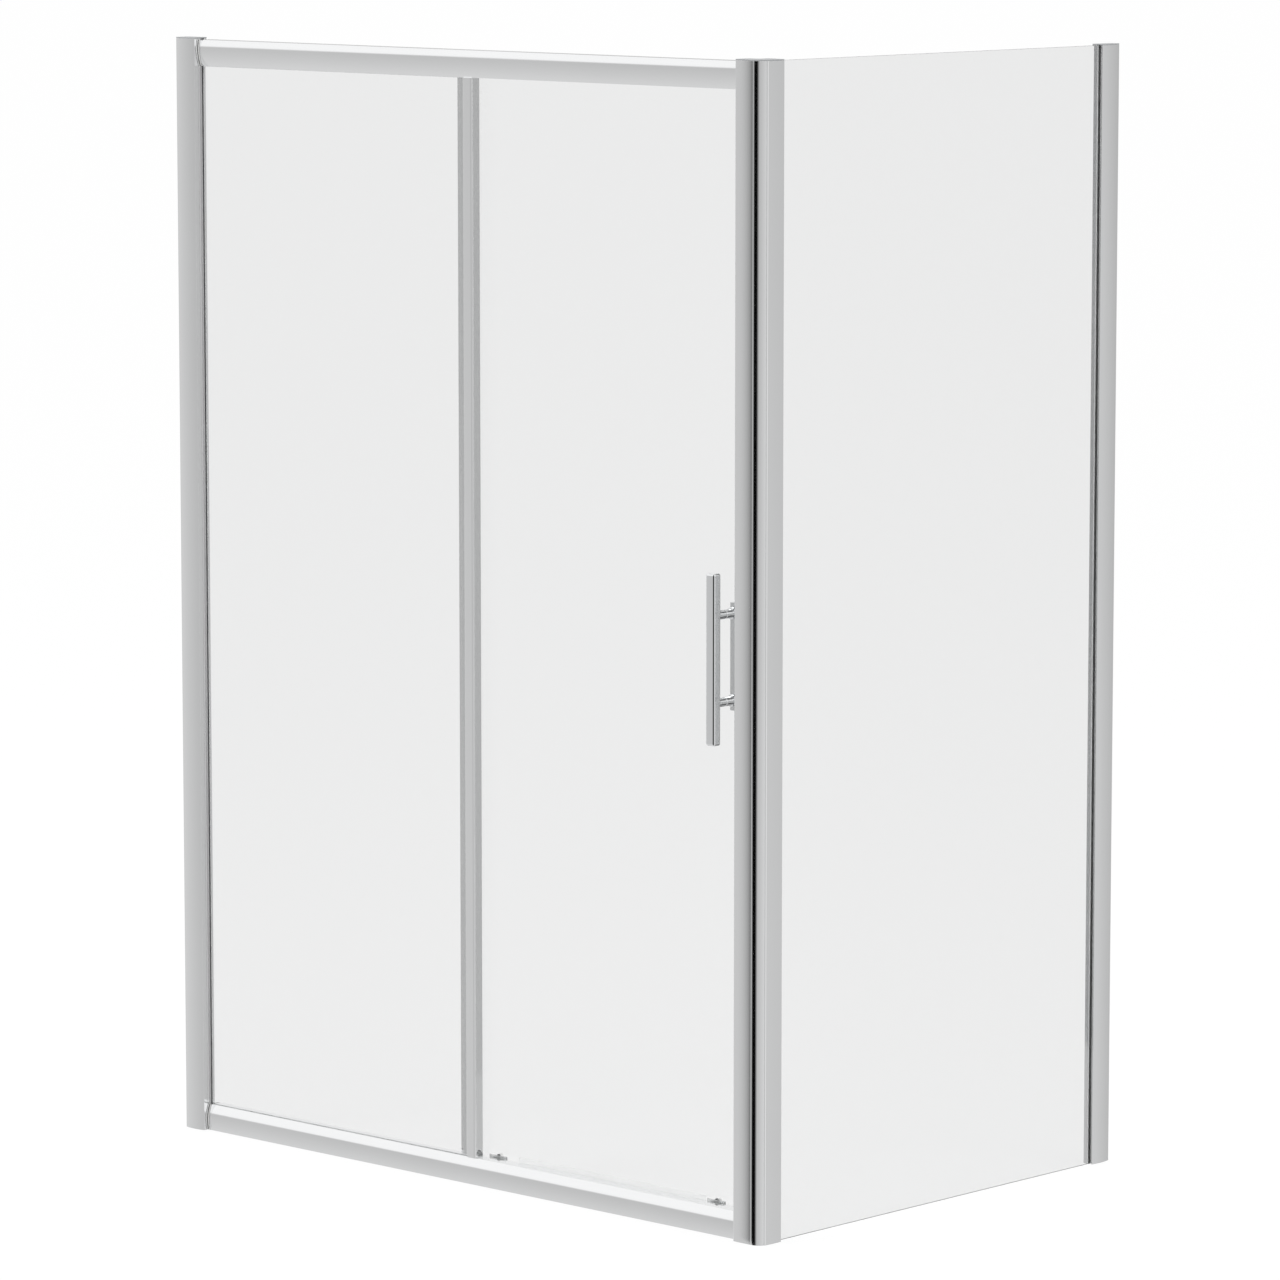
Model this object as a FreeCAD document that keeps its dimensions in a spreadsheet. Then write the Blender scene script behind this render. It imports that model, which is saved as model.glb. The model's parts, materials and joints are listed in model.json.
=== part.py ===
import FreeCAD, Part
import Sketcher
import math
import os

# Corner shower enclosure: a fixed pane, a sliding door on rollers and a side pane.
# X runs along the front, Y from the front towards the wall behind, Z up; millimetres.
# The origin is the middle of the footprint at floor level.  In the sections below, "along"
# is 0 at the side's outer face and negative towards the left wall, and "depth" is 0 at the
# front's outer face and positive towards the inside of the shower.

DIMENSIONS = {
    # whole enclosure
    "overall_width": 1390.0, "overall_depth": 915.0, "overall_height": 1950.0,
    "handle_reach": 11.0, "pane_thick": 6.0, "gasket_thick": 1.0, "cap_thick": 2.0,
    # wall posts
    "post_width": 46.8, "post_depth": 32.2, "cover_bulge": 3.2, "cover_wall": 1.6,
    "channel_front": 5.5, "channel_back": 31.7, "channel_leg": 1.8, "channel_wall": 2.0,
    "channel_reach": 38.0, "jamb_start": 10.0, "jamb_skin": 1.6, "jamb_groove": 34.0,
    "side_post_width": 48.0, "side_post_depth": 24.0, "side_channel_front": 4.5,
    "side_channel_back": 23.5, "side_channel_leg": 1.5, "side_cover_bulge": 2.76,
    "wall_hole_radius": 3.0, "wall_hole_pitch": 560.0, "adjusting_inset": 150.0,
    # rails
    "rail_height": 46.0, "rail_face_radius": 70.0, "rail_face_apex": 17.0,
    "rail_front": 11.0, "rail_back": 41.0, "rail_wall": 2.0, "rail_drop": 4.0,
    "rail_plug_thick": 5.0, "lip_depth": 36.5, "lip_thick": 2.0, "lip_height": 6.0,
    "rail_groove_floor": 30.0, "screw_port_radius": 1.9,
    # glass planes and seats
    "fixed_pane_depth": 19.0, "fixed_pane_start": 35.0, "fixed_pane_end": 5.3,
    "glass_seat": 1.0, "door_pane_depth": 43.2, "side_pane_inset": 7.0,
    "side_pane_low": 0.6, "side_pane_high": 0.2, "side_pane_start": 37.8, "side_pane_stop": 40.5,
    # middle interlock
    "middle_left": -696.0, "middle_right": -674.0, "door_left": -731.0,
    # corner
    "corner_cover_width": 40.0, "corner_cover_start": 22.6, "corner_radius": 20.0,
    "corner_cover_radius": 380.0, "side_seam": 11.2,
    # door
    "door_right": -58.0, "door_bottom": 14.0, "door_top": 1932.0, "door_travel": 548.0,
    "door_edge_lip": 1.5, "door_edge_web": 1.8,
    "roller_left": -650.6, "roller_right": -142.1, "drip_left": -600.0, "drip_right": -165.0,
    # wheels
    "wheel_radius": 11.5, "wheel_groove_radius": 9.0, "wheel_width": 8.0,
    "wheel_gap": 0.3, "axle_radius": 3.0, "bore_clearance": 0.05,
    # quick release of the bottom wheels
    "release_travel": 7.0, "slider_width": 10.0, "slider_thick": 7.9, "slider_clearance": 0.3,
    "carrier_thick": 2.0, "spring_radius": 3.4, "spring_wire": 0.5, "spring_pitch": 2.9,
    # handle
    "handle_along": -104.6, "handle_height": 967.5, "handle_length": 285.0,
    "handle_bar_width": 20.0, "handle_bar_depth": 17.0, "handle_edge_radius": 1.6,
    "handle_pitch": 145.0, "handle_post_radius": 7.7, "handle_flange_radius": 10.0,
    "plate_width": 16.0, "plate_height": 180.0, "plate_thick": 4.0,
}

doc = FreeCAD.newDocument("shower_enclosure")
sheet = doc.addObject("Spreadsheet::Sheet", "dims")
for row, (alias, value) in enumerate(DIMENSIONS.items(), start=1):
    sheet.set("A%d" % row, alias)
    sheet.set("B%d" % row, str(value))
    sheet.setAlias("B%d" % row, alias)
doc.recompute()


def dim(alias):
    return float(sheet.get(alias))


WIDTH = dim("overall_width")
DEPTH = dim("overall_depth")
HEIGHT = dim("overall_height")
HALF_WIDTH = WIDTH / 2
FRONT = (dim("handle_reach") - DEPTH) / 2  # Y of the front's outer face
POST_TOP = HEIGHT - dim("cap_thick")
RAIL_TOP = HEIGHT - dim("rail_drop")
RAIL_HIGH = dim("rail_height")

POST_LENGTH = "dims.overall_height - dims.cap_thick"
PANE_SPAN = "dims.overall_height - dims.rail_drop - 2 * dims.rail_height"  # between the rails
DOOR_SPAN = "dims.door_top - dims.door_bottom"

# upright extrusion: the section's X and Y stay X and Y
UPRIGHT = FreeCAD.Rotation()
# extrusion along the front: the section's X is depth, its Y is height
ALONG_FRONT = FreeCAD.Rotation(FreeCAD.Vector(1, 1, 1), 120)
# a sheet facing the front: the section's X is along, its Y is height, thickness towards -Y
FACING_FRONT = FreeCAD.Rotation(FreeCAD.Vector(1, 0, 0), 90)

X_AXIS = FreeCAD.Vector(1, 0, 0)
Y_AXIS = FreeCAD.Vector(0, 1, 0)
Z_AXIS = FreeCAD.Vector(0, 0, 1)

sub_parts = []


# ---- making and placing pieces ----

def place(along, depth, height):
    return FreeCAD.Vector(along + HALF_WIDTH, depth + FRONT, height)


def new_body(label):
    body = doc.addObject("PartDesign::Body", label)
    body.Label = label
    sub_parts.append(body)
    return body


def new_sketch(body, name, plane="XY_Plane"):
    sketch = body.newObject("Sketcher::SketchObject", name)
    support = [feature for feature in body.Origin.OriginFeatures if feature.Role == plane]
    sketch.AttachmentSupport = (support[0], [""])
    sketch.MapMode = "FlatFace"
    return sketch


def sag_point(start, end, sag):
    # middle of an arc between two points; sag is positive to the left of the way
    length = math.hypot(end.x - start.x, end.y - start.y)
    middle_x = (start.x + end.x) / 2 - sag * (end.y - start.y) / length
    middle_y = (start.y + end.y) / 2 + sag * (end.x - start.x) / length
    return FreeCAD.Vector(middle_x, middle_y, 0)


def draw_outline(sketch, outline):
    # outline: (x, y) for a straight edge to that point, (x, y, sag) for an arc to it
    corners = [FreeCAD.Vector(item[0], item[1], 0) for item in outline]
    edges = []
    for index, item in enumerate(outline):
        start = corners[index - 1]
        end = corners[index]
        if len(item) == 3:
            edges.append(Part.Arc(start, sag_point(start, end, item[2]), end))
        else:
            edges.append(Part.LineSegment(start, end))
    sketch.addGeometry(edges, False)


def draw_circles(sketch, circles):
    for x, y, radius in circles:
        sketch.addGeometry(Part.Circle(FreeCAD.Vector(x, y, 0), Z_AXIS, radius), False)


def extrude(label, outlines, length, rotation, position, circles=()):
    # one profile with its hollows, padded by the sheet expression in length
    body = new_body(label)
    sketch = new_sketch(body, label + "_section")
    for outline in outlines:
        draw_outline(sketch, outline)
    draw_circles(sketch, circles)
    pad = body.newObject("PartDesign::Pad", label + "_pad")
    pad.Profile = sketch
    pad.setExpression("Length", length)
    body.Placement = FreeCAD.Placement(position, rotation)
    return body


def turned(label, half_section, centre, direction=Y_AXIS):
    # half_section: (radius, axial) points, turned about the line from centre in direction
    body = new_body(label)
    sketch = new_sketch(body, label + "_section")
    draw_outline(sketch, half_section)
    revolution = body.newObject("PartDesign::Revolution", label + "_turn")
    revolution.Profile = sketch
    revolution.ReferenceAxis = (sketch, ["V_Axis"])
    revolution.Angle = 360
    body.Placement = FreeCAD.Placement(centre, FreeCAD.Rotation(Y_AXIS, direction))
    return body


def drill(body, name, holes, plane, reach):
    # round holes (x, y, radius) on one of the body's origin planes, cut reach / 2 to each side
    sketch = new_sketch(body, name, plane)
    draw_circles(sketch, holes)
    pocket = body.newObject("PartDesign::Pocket", name + "_pocket")
    pocket.Profile = sketch
    pocket.Type = "Length"
    pocket.Midplane = True
    pocket.Length = reach


def gather(label, pieces):
    # separate solids of one kind become one sub-part
    for piece in pieces:
        sub_parts.remove(piece)
    group = doc.addObject("Part::Compound", label)
    group.Label = label
    group.Links = pieces
    sub_parts.append(group)


def turned_group(label, half_section, centres):
    gather(label, [turned("%s_%d" % (label, number), half_section, centre)
                   for number, centre in enumerate(centres, start=1)])


def upright_group(label, outlines, length, position):
    gather(label, [extrude("%s_%d" % (label, number), [outline], length, UPRIGHT, position)
                   for number, outline in enumerate(outlines, start=1)])


def block(name, corner, size):
    piece = doc.addObject("Part::Box", name)
    piece.Length, piece.Width, piece.Height = size
    piece.Placement = FreeCAD.Placement(corner, FreeCAD.Rotation())
    sub_parts.append(piece)
    return piece


def screw(name, head_top, direction, head_radius, head_high, shank_radius, length):
    # pan head and shank, from the head's top to the tip
    head_flat = 0.72 * head_radius
    return turned(name, [(0, 0), (head_flat, 0), (head_radius, head_high), (shank_radius, head_high),
                         (shank_radius, length), (0, length)], head_top, direction)


def arc_sag(radius, start, end):
    # how far an arc of that radius stands off the line between two points
    half = math.hypot(end[0] - start[0], end[1] - start[1]) / 2
    return radius - math.sqrt(radius ** 2 - half ** 2)


# ---- wall posts: (u, v) with u from the wall and v from the outer face ----

def on_right_post(points):
    # the side's post stands on the wall behind: its section is turned and mirrored
    return [(-item[1], DEPTH - item[0]) + tuple(-sag for sag in item[2:]) for item in points]


def wall_channel(front, back, leg):
    base = dim("channel_wall")
    reach = dim("channel_reach")
    return [(0, front), (reach, front), (reach, front + leg), (base, front + leg),
            (base, back - leg), (reach, back - leg), (reach, back), (0, back)]


def rectangle(left, low, right, high):
    return [(left, low), (right, low), (right, high), (left, high)]


LEFT_WALL = place(-WIDTH, 0, 0)
CORNER = place(0, 0, 0)
CAP_LEVEL = FreeCAD.Vector(0, 0, POST_TOP)
WALL_HOLE_HEIGHTS = [HEIGHT / 2 + (step - 1.5) * dim("wall_hole_pitch") for step in range(4)]
ADJUSTING_HEIGHTS = [dim("adjusting_inset"), HEIGHT / 2, HEIGHT - dim("adjusting_inset")]
ADJUSTING_FROM_WALL = 26.0

post_face = dim("post_width")
post_back = dim("post_depth")
cover_wall = dim("cover_wall")
bulge = dim("cover_bulge")
pane = dim("pane_thick")
gasket = dim("gasket_thick")
skin = dim("jamb_skin")
front_lip = dim("fixed_pane_depth") - gasket
back_lip = dim("fixed_pane_depth") + pane + gasket

left_channel = extrude("left_wall_channel",
                       [wall_channel(dim("channel_front"), dim("channel_back"), dim("channel_leg"))],
                       POST_LENGTH, UPRIGHT, LEFT_WALL)
channel_middle = (dim("channel_front") + dim("channel_back")) / 2
drill(left_channel, "left_wall_holes",
      [(channel_middle, z, dim("wall_hole_radius")) for z in WALL_HOLE_HEIGHTS], "YZ_Plane", 10)

jamb_start = dim("jamb_start")
jamb_groove = dim("jamb_groove")
jamb_front = 7.6
jamb_back = 29.6
jamb_shoulder = 12.3  # from here inwards the jamb itself is seen
cover_line = post_face - cover_wall
jamb_outline = [(jamb_start, jamb_front), (cover_line, jamb_front), (cover_line, jamb_shoulder),
                (post_face, jamb_shoulder), (post_face, front_lip), (jamb_groove, front_lip),
                (jamb_groove, back_lip), (post_face, back_lip), (post_face, post_back),
                (cover_line, post_back), (cover_line, jamb_back), (jamb_start, jamb_back)]
jamb_hollow = rectangle(jamb_start + skin, jamb_front + skin, jamb_groove - skin, jamb_back - skin)
jamb_pocket = rectangle(jamb_groove, jamb_front + skin, cover_line - skin, front_lip - skin)
left_jamb = extrude("left_jamb", [jamb_outline, jamb_hollow, jamb_pocket], POST_LENGTH, UPRIGHT, LEFT_WALL)

cover_edge = 12.0
cover_front = [(0, bulge), (post_face, bulge, -bulge), (post_face, cover_edge)]
extrude("left_cover", [cover_front + [(cover_line, cover_edge), (cover_line, bulge + cover_wall),
                                      (cover_wall, bulge + cover_wall, bulge),
                                      (cover_wall, dim("channel_front")), (0, dim("channel_front"))]],
        POST_LENGTH, UPRIGHT, LEFT_WALL)
extrude("left_cap", [cover_front + [(0, cover_edge)]], "dims.cap_thick", UPRIGHT, LEFT_WALL + CAP_LEVEL)
extrude("left_jamb_cap", [rectangle(0, cover_edge + 0.1, post_face + 0.3, post_back + 0.6)],
        "dims.cap_thick", UPRIGHT, LEFT_WALL + CAP_LEVEL)

# right post, on the wall behind, holding the side pane
side_face = dim("side_post_width")
side_back = dim("side_post_depth")
side_pane = dim("side_pane_inset")
outer_wall = side_pane - gasket
inner_wall = side_pane + pane + gasket
side_channel_front = dim("side_channel_front")
right_channel = extrude("right_wall_channel",
                        [on_right_post(wall_channel(side_channel_front, dim("side_channel_back"),
                                                    dim("side_channel_leg")))],
                        POST_LENGTH, UPRIGHT, CORNER)
side_channel_middle = (side_channel_front + dim("side_channel_back")) / 2
drill(right_channel, "right_wall_holes",
      [(-side_channel_middle, z, dim("wall_hole_radius")) for z in WALL_HOLE_HEIGHTS],
      "XZ_Plane", 2 * DEPTH + 10)

side_jamb_front = 6.3
side_jamb_back = 21.7
side_shoulder = 38.3
side_groove = 39.9
side_lip = 4.6
side_lip_end = 44.0
side_jamb = [(jamb_start, side_jamb_front), (side_shoulder, side_jamb_front), (side_shoulder, side_lip),
             (side_lip_end, side_lip), (side_lip_end, outer_wall), (side_groove, outer_wall),
             (side_groove, inner_wall), (side_face, inner_wall), (side_face, side_back),
             (side_shoulder, side_back), (side_shoulder, side_jamb_back), (jamb_start, side_jamb_back)]
side_hollow = rectangle(jamb_start + skin, side_jamb_front + skin,
                        side_shoulder - skin, side_jamb_back - skin)
side_pocket = rectangle(side_groove + skin, inner_wall + skin, side_face - skin, side_back - skin)
right_jamb = extrude("right_jamb",
                     [on_right_post(outline) for outline in (side_jamb, side_hollow, side_pocket)],
                     POST_LENGTH, UPRIGHT, CORNER)

# the side's cover is a shallow curve that ends in a hook over the jamb's lip
side_curve = [(0, 4.2), (side_face, 1.6, -dim("side_cover_bulge"))]
side_hook = [(side_face, 3.4), (side_lip_end, 3.4), (side_lip_end, side_lip), (42, side_lip)]
side_inside = [(42, 3.1), (1.8, side_channel_front, 2.0), (0, side_channel_front)]
extrude("right_cover", [on_right_post(side_curve + side_hook + side_inside)], POST_LENGTH, UPRIGHT, CORNER)
extrude("right_cap", [on_right_post(side_curve + [(side_face, side_back + 0.4), (0, side_back + 0.4)])],
        "dims.cap_thick", UPRIGHT, CORNER + CAP_LEVEL)

# adjusting screws join each wall channel to the jamb that slides in it, under the cover
gather("adjusting_screws",
       [screw("adjusting_screw_%s_%d" % (side, number), place(along, depth, z), direction, 3.4, 1.9, 1.7, 7.4)
        for number, z in enumerate(ADJUSTING_HEIGHTS, start=1)
        for side, along, depth, direction in (
            ("left", ADJUSTING_FROM_WALL - WIDTH, dim("channel_front") - 1.9, Y_AXIS),
            ("right", 1.9 - side_channel_front, DEPTH - ADJUSTING_FROM_WALL, -X_AXIS))])
for body in (left_channel, left_jamb):
    drill(body, body.Label + "_screw_holes", [(ADJUSTING_FROM_WALL, z, 1.75) for z in ADJUSTING_HEIGHTS],
          "XZ_Plane", 22)
for body in (right_channel, right_jamb):
    drill(body, body.Label + "_screw_holes",
          [(DEPTH - ADJUSTING_FROM_WALL, z, 1.75) for z in ADJUSTING_HEIGHTS], "YZ_Plane", 20)


# ---- rails: section in (depth, height), extruded along the front ----

apex = dim("rail_face_apex")
face_radius = dim("rail_face_radius")
rail_wall = dim("rail_wall")
rail_back = dim("rail_back")
lip_front = dim("lip_depth") - dim("lip_thick") / 2
lip_back = dim("lip_depth") + dim("lip_thick") / 2
lip_end = RAIL_HIGH - rail_wall - dim("lip_height")
groove_floor = dim("rail_groove_floor")
port_depth = 22.6
port_heights = (6.2, 23.8)  # screw ports below and above the rail's closed chamber
port_radius = dim("screw_port_radius")


def face_depth(height, inner=0.0):
    # depth of the convex face, or of its inner skin, at a height above the rail's outer edge
    rise = height - apex
    return dim("rail_front") + face_radius - math.sqrt((face_radius - inner) ** 2 - rise ** 2)


def face_edge(low, high, inner=0.0):
    start = (face_depth(low, inner), low)
    end = (face_depth(high, inner), high)
    return [start, end + (arc_sag(face_radius - inner, start, end),)]


def rail_front_half():
    return face_edge(0, RAIL_HIGH) + [(front_lip, RAIL_HIGH), (front_lip, groove_floor),
                                      (back_lip, groove_floor), (back_lip, RAIL_HIGH)]


def rail_profile():
    top = RAIL_HIGH - rail_wall
    web = back_lip + rail_wall
    lip_round = dim("lip_thick") / 2
    foot_high = 7.0
    foot = rail_back - 1.8
    outline = rail_front_half() + [
        (rail_back, RAIL_HIGH), (rail_back, top), (lip_back, top), (lip_back, lip_end + lip_round),
        (lip_front, lip_end + lip_round, -lip_round), (lip_front, top), (web, top), (web, rail_wall),
        (foot, rail_wall), (foot, foot_high), (rail_back, foot_high), (rail_back, 0)]
    face_skin = 1.8
    ceiling = groove_floor - face_skin
    port_block = 18.8
    middle_web = 26.2
    low_block, high_block = 10.4, 19.6
    chamber = face_edge(rail_wall, ceiling, face_skin) + [
        (port_block, ceiling), (port_block, high_block), (middle_web, high_block),
        (middle_web, low_block), (port_block, low_block), (port_block, rail_wall)]
    return [outline, chamber]


def plug_profile():
    return [rail_front_half() + [(rail_back, RAIL_HIGH), (rail_back, 0)]]


def upside_down(outlines):
    # the top rail is the bottom rail's section turned over
    return [[(item[0], RAIL_HIGH - item[1]) + tuple(-sag for sag in item[2:]) for item in outline]
            for outline in outlines]


def ports(radius, turned_over):
    return [(port_depth, RAIL_HIGH - height if turned_over else height, radius) for height in port_heights]


def along_rail(label, outlines, length, along, turned_over, circles=()):
    # a piece that runs with the bottom rail, or with the top rail, which is turned over
    shapes = upside_down(outlines) if turned_over else outlines
    level = RAIL_TOP - RAIL_HIGH if turned_over else 0
    return extrude(label, shapes, length, ALONG_FRONT, place(along, 0, level), circles)


RAIL_LEFT = post_face - WIDTH
RAIL_RIGHT = -(dim("corner_cover_start") + dim("corner_cover_width"))
RAIL_LENGTH = ("dims.overall_width - dims.post_width - dims.corner_cover_start"
               " - dims.corner_cover_width - 2 * dims.rail_plug_thick")
plug = dim("rail_plug_thick")
for label, turned_over in (("bottom_rail", False), ("top_rail", True)):
    along_rail(label, rail_profile(), RAIL_LENGTH, RAIL_LEFT + plug, turned_over,
               ports(port_radius, turned_over))
gather("rail_end_plugs",
       [along_rail("rail_plug_%s_%s" % (side, level), plug_profile(), "dims.rail_plug_thick", along,
                   level == "high", ports(port_radius + 0.3, level == "high"))
        for side, along in (("left", RAIL_LEFT), ("right", RAIL_RIGHT - plug)) for level in ("low", "high")])

# two screws go through each post into each rail's ports, their heads deep inside the post
rail_screw_heights = list(port_heights) + [RAIL_TOP - height for height in port_heights]
access_holes = [(port_depth, z, 4.5) for z in rail_screw_heights]
shank_holes = [(port_depth, z, 2.2) for z in rail_screw_heights]
drill(left_jamb, "left_screw_access", access_holes, "YZ_Plane", 60)
drill(left_jamb, "left_screw_holes", shank_holes, "YZ_Plane", 80)


# ---- corner: front cover profile, round post and side cover profile ----

corner_start = -dim("corner_cover_start")
left_edge = RAIL_RIGHT
cover_radius = dim("corner_cover_radius")
round_radius = dim("corner_radius")
seam = dim("side_seam")
cover_apex = -36.0  # where the nearly flat cover comes furthest forward
edge_round = 3.5
block_left = -40.0  # the block behind the front cover that carries the magnet strip
block_back = 56.0
box_back = 35.0
box_wall = 2.0
block_skin = 1.8


def cover_depth(along):
    return (along - cover_apex) ** 2 / (2 * cover_radius)


front_edge = (left_edge + edge_round, cover_depth(left_edge + edge_round))
front_end = (corner_start, cover_depth(corner_start))
front_face = [(left_edge, front_edge[1] + edge_round),
              front_edge + (-edge_round * (1 - math.cos(math.pi / 4)),),
              front_end + (-arc_sag(cover_radius, front_edge, front_end),)]
front_box = front_face + [(corner_start, block_back), (block_left, block_back), (block_left, box_back),
                          (left_edge, box_back)]
front_hollow = [(left_edge + box_wall, 3.2), (corner_start - box_wall, 2.6),
                (corner_start - box_wall, box_back - box_wall), (left_edge + box_wall, box_back - box_wall)]
block_hollow = rectangle(block_left + block_skin, box_back + block_skin,
                         corner_start - box_wall, block_back - block_skin)
corner_front = extrude("corner_front_profile", [front_box, front_hollow, block_hollow], POST_LENGTH,
                       UPRIGHT, CORNER)
drill(corner_front, "corner_screw_access", access_holes, "YZ_Plane", -2 * (left_edge + 3))
drill(corner_front, "corner_screw_holes", shank_holes, "YZ_Plane", -2 * (left_edge - 3))

post_inside = dim("corner_cover_start")
inner_radius = round_radius - box_wall
return_edge = -4.2
inner_edge = return_edge - box_wall
arc_end_depth = seam - 0.2
arc_start = (-round_radius, 0)
arc_end = (-round_radius + math.sqrt(round_radius ** 2 - (round_radius - arc_end_depth) ** 2), arc_end_depth)
round_arc = arc_end + (-arc_sag(round_radius, arc_start, arc_end),)
inner_start = (-round_radius, box_wall)
inner_end = (inner_edge, round_radius - math.sqrt(inner_radius ** 2 - (inner_edge + round_radius) ** 2))
round_post = [(corner_start, 0), arc_start, round_arc, (return_edge, arc_end_depth),
              (return_edge, post_inside), (corner_start, post_inside)]
round_hollow = [(corner_start + box_wall, box_wall), inner_start,
                inner_end + (-arc_sag(inner_radius, inner_start, inner_end),),
                (inner_edge, post_inside - box_wall), (corner_start + box_wall, post_inside - box_wall)]
extrude("corner_post", [round_post, round_hollow], POST_LENGTH, UPRIGHT, CORNER)

corner_groove = 37.0
corner_groove_inside = -15.8
side_end = seam + dim("corner_cover_width") + 0.5
side_first = (-0.8, seam + 0.8)
side_last = (-cover_depth(-side_end), side_end)
side_arc = side_last + (-arc_sag(cover_radius, side_first, side_last),)
side_back_edge = corner_start + 0.2
hollow_edge = side_back_edge + box_wall
side_outline = [(-4.0, seam), (-1.6, seam), side_first + (-0.23,), side_arc,
                (-outer_wall, side_end), (-outer_wall, corner_groove), (-inner_wall, corner_groove),
                (-inner_wall, side_end), (side_back_edge, side_end), (side_back_edge, post_inside + 0.2),
                (-4.0, post_inside + 0.2)]
side_hollows = [rectangle(hollow_edge, 24.8, -2.2, 35.2), rectangle(-4.4, 38.0, -2.2, 50.0),
                rectangle(hollow_edge, corner_groove, corner_groove_inside, 49.9)]
extrude("corner_side_profile", [side_outline] + side_hollows, POST_LENGTH, UPRIGHT, CORNER)

cap_outline = front_face + [arc_start, round_arc, side_first, side_arc, (corner_start, side_end),
                            (corner_start, block_back), (block_left, block_back), (block_left, box_back),
                            (left_edge, box_back)]
extrude("corner_cap", [cap_outline], "dims.cap_thick", UPRIGHT, CORNER + CAP_LEVEL)

# screws from inside the left jamb and the corner profile into the rails' ports
gather("rail_screws",
       [screw("rail_screw_%s_%d" % (side, number), place(start, port_depth, z), direction,
              4.0, 2.6, port_radius - 0.05, length)
        for number, z in enumerate(rail_screw_heights, start=1)
        for side, start, direction, length in (("left", RAIL_LEFT - 17.0, X_AXIS, 40),
                                               ("right", left_edge + 4.6, -X_AXIS, 28))])

magnet_front, magnet_back = 42.0, 50.4
magnet_neck, magnet_face = -43.0, -46.6
magnet_chamfer = 1.2
extrude("magnet_strip", [[(block_left, magnet_front), (block_left, magnet_back), (magnet_neck, magnet_back),
                          (magnet_face, magnet_back - magnet_chamfer),
                          (magnet_face, magnet_front + magnet_chamfer), (magnet_neck, magnet_front)]],
        POST_LENGTH + " - 4", UPRIGHT, place(0, 0, 2))


# ---- glass, its gaskets and the middle interlock ----

def pane_sheet(label, width, height, rotation, position):
    # a rectangular sheet of glass: its outline and thickness follow the sheet's expressions
    body = new_body(label)
    sketch = new_sketch(body, label + "_outline")
    points = [FreeCAD.Vector(x, y, 0) for x, y in rectangle(0, 0, 1, 1)]
    sketch.addGeometry([Part.LineSegment(points[i], points[(i + 1) % 4]) for i in range(4)], False)
    for i in range(4):
        sketch.addConstraint(Sketcher.Constraint("Coincident", i, 2, (i + 1) % 4, 1))
    for edge, kind in ((0, "Horizontal"), (1, "Vertical"), (2, "Horizontal"), (3, "Vertical")):
        sketch.addConstraint(Sketcher.Constraint(kind, edge))
    sketch.addConstraint(Sketcher.Constraint("Coincident", 0, 1, -1, 1))
    for name, kind, edge, expression in (("pane_width", "DistanceX", 0, width),
                                         ("pane_height", "DistanceY", 1, height)):
        size = sketch.addConstraint(Sketcher.Constraint(kind, edge, 1, edge, 2, 1.0))
        sketch.renameConstraint(size, name)
        sketch.setExpression("Constraints." + name, expression)
    pad = body.newObject("PartDesign::Pad", label + "_pad")
    pad.Profile = sketch
    pad.setExpression("Length", "dims.pane_thick")
    body.Placement = FreeCAD.Placement(position, rotation)
    return body


pane_sheet("fixed_glass",
           "dims.overall_width - dims.fixed_pane_start + dims.middle_right - dims.fixed_pane_end",
           "dims.overall_height - dims.rail_drop - 2 * (dims.rail_groove_floor + dims.glass_seat)",
           FACING_FRONT, place(dim("fixed_pane_start") - WIDTH, dim("fixed_pane_depth") + pane,
                               groove_floor + dim("glass_seat")))
side_start = dim("side_pane_start")
pane_sheet("side_glass", "dims.overall_depth - dims.side_pane_start - dims.side_pane_stop",
           POST_LENGTH + " - dims.side_pane_low - dims.side_pane_high", ALONG_FRONT,
           place(-side_pane - pane, side_start, dim("side_pane_low")))

bead = 1.8  # the gaskets' bead that is seen outside the groove
front_bead = [(jamb_groove + 1, front_lip), (post_face, front_lip), (post_face, front_lip - 1.6),
              (post_face + bead, front_lip - 1.0), (post_face + bead, front_lip + gasket),
              (jamb_groove + 1, front_lip + gasket)]
back_bead = [(jamb_groove + 1, back_lip - gasket), (post_face + bead, back_lip - gasket),
             (post_face + bead, back_lip + 1.0), (post_face, back_lip + 1.6), (post_face, back_lip),
             (jamb_groove + 1, back_lip)]
upright_group("fixed_glass_gaskets", [front_bead, back_bead], PANE_SPAN,
              LEFT_WALL + FreeCAD.Vector(0, 0, RAIL_HIGH))

# strips that close the rails' glass grooves, front and back of the pane
gather("rail_glass_strips",
       [along_rail("rail_strip_%s_%s" % (side, level),
                   [rectangle(near, groove_floor + 2, near + gasket, RAIL_HIGH + 0.6)],
                   "dims.overall_width + dims.middle_left - dims.post_width - 8", RAIL_LEFT + plug + 2,
                   level == "high")
        for level in ("low", "high") for side, near in (("front", front_lip), ("back", back_lip - gasket))])

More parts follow.
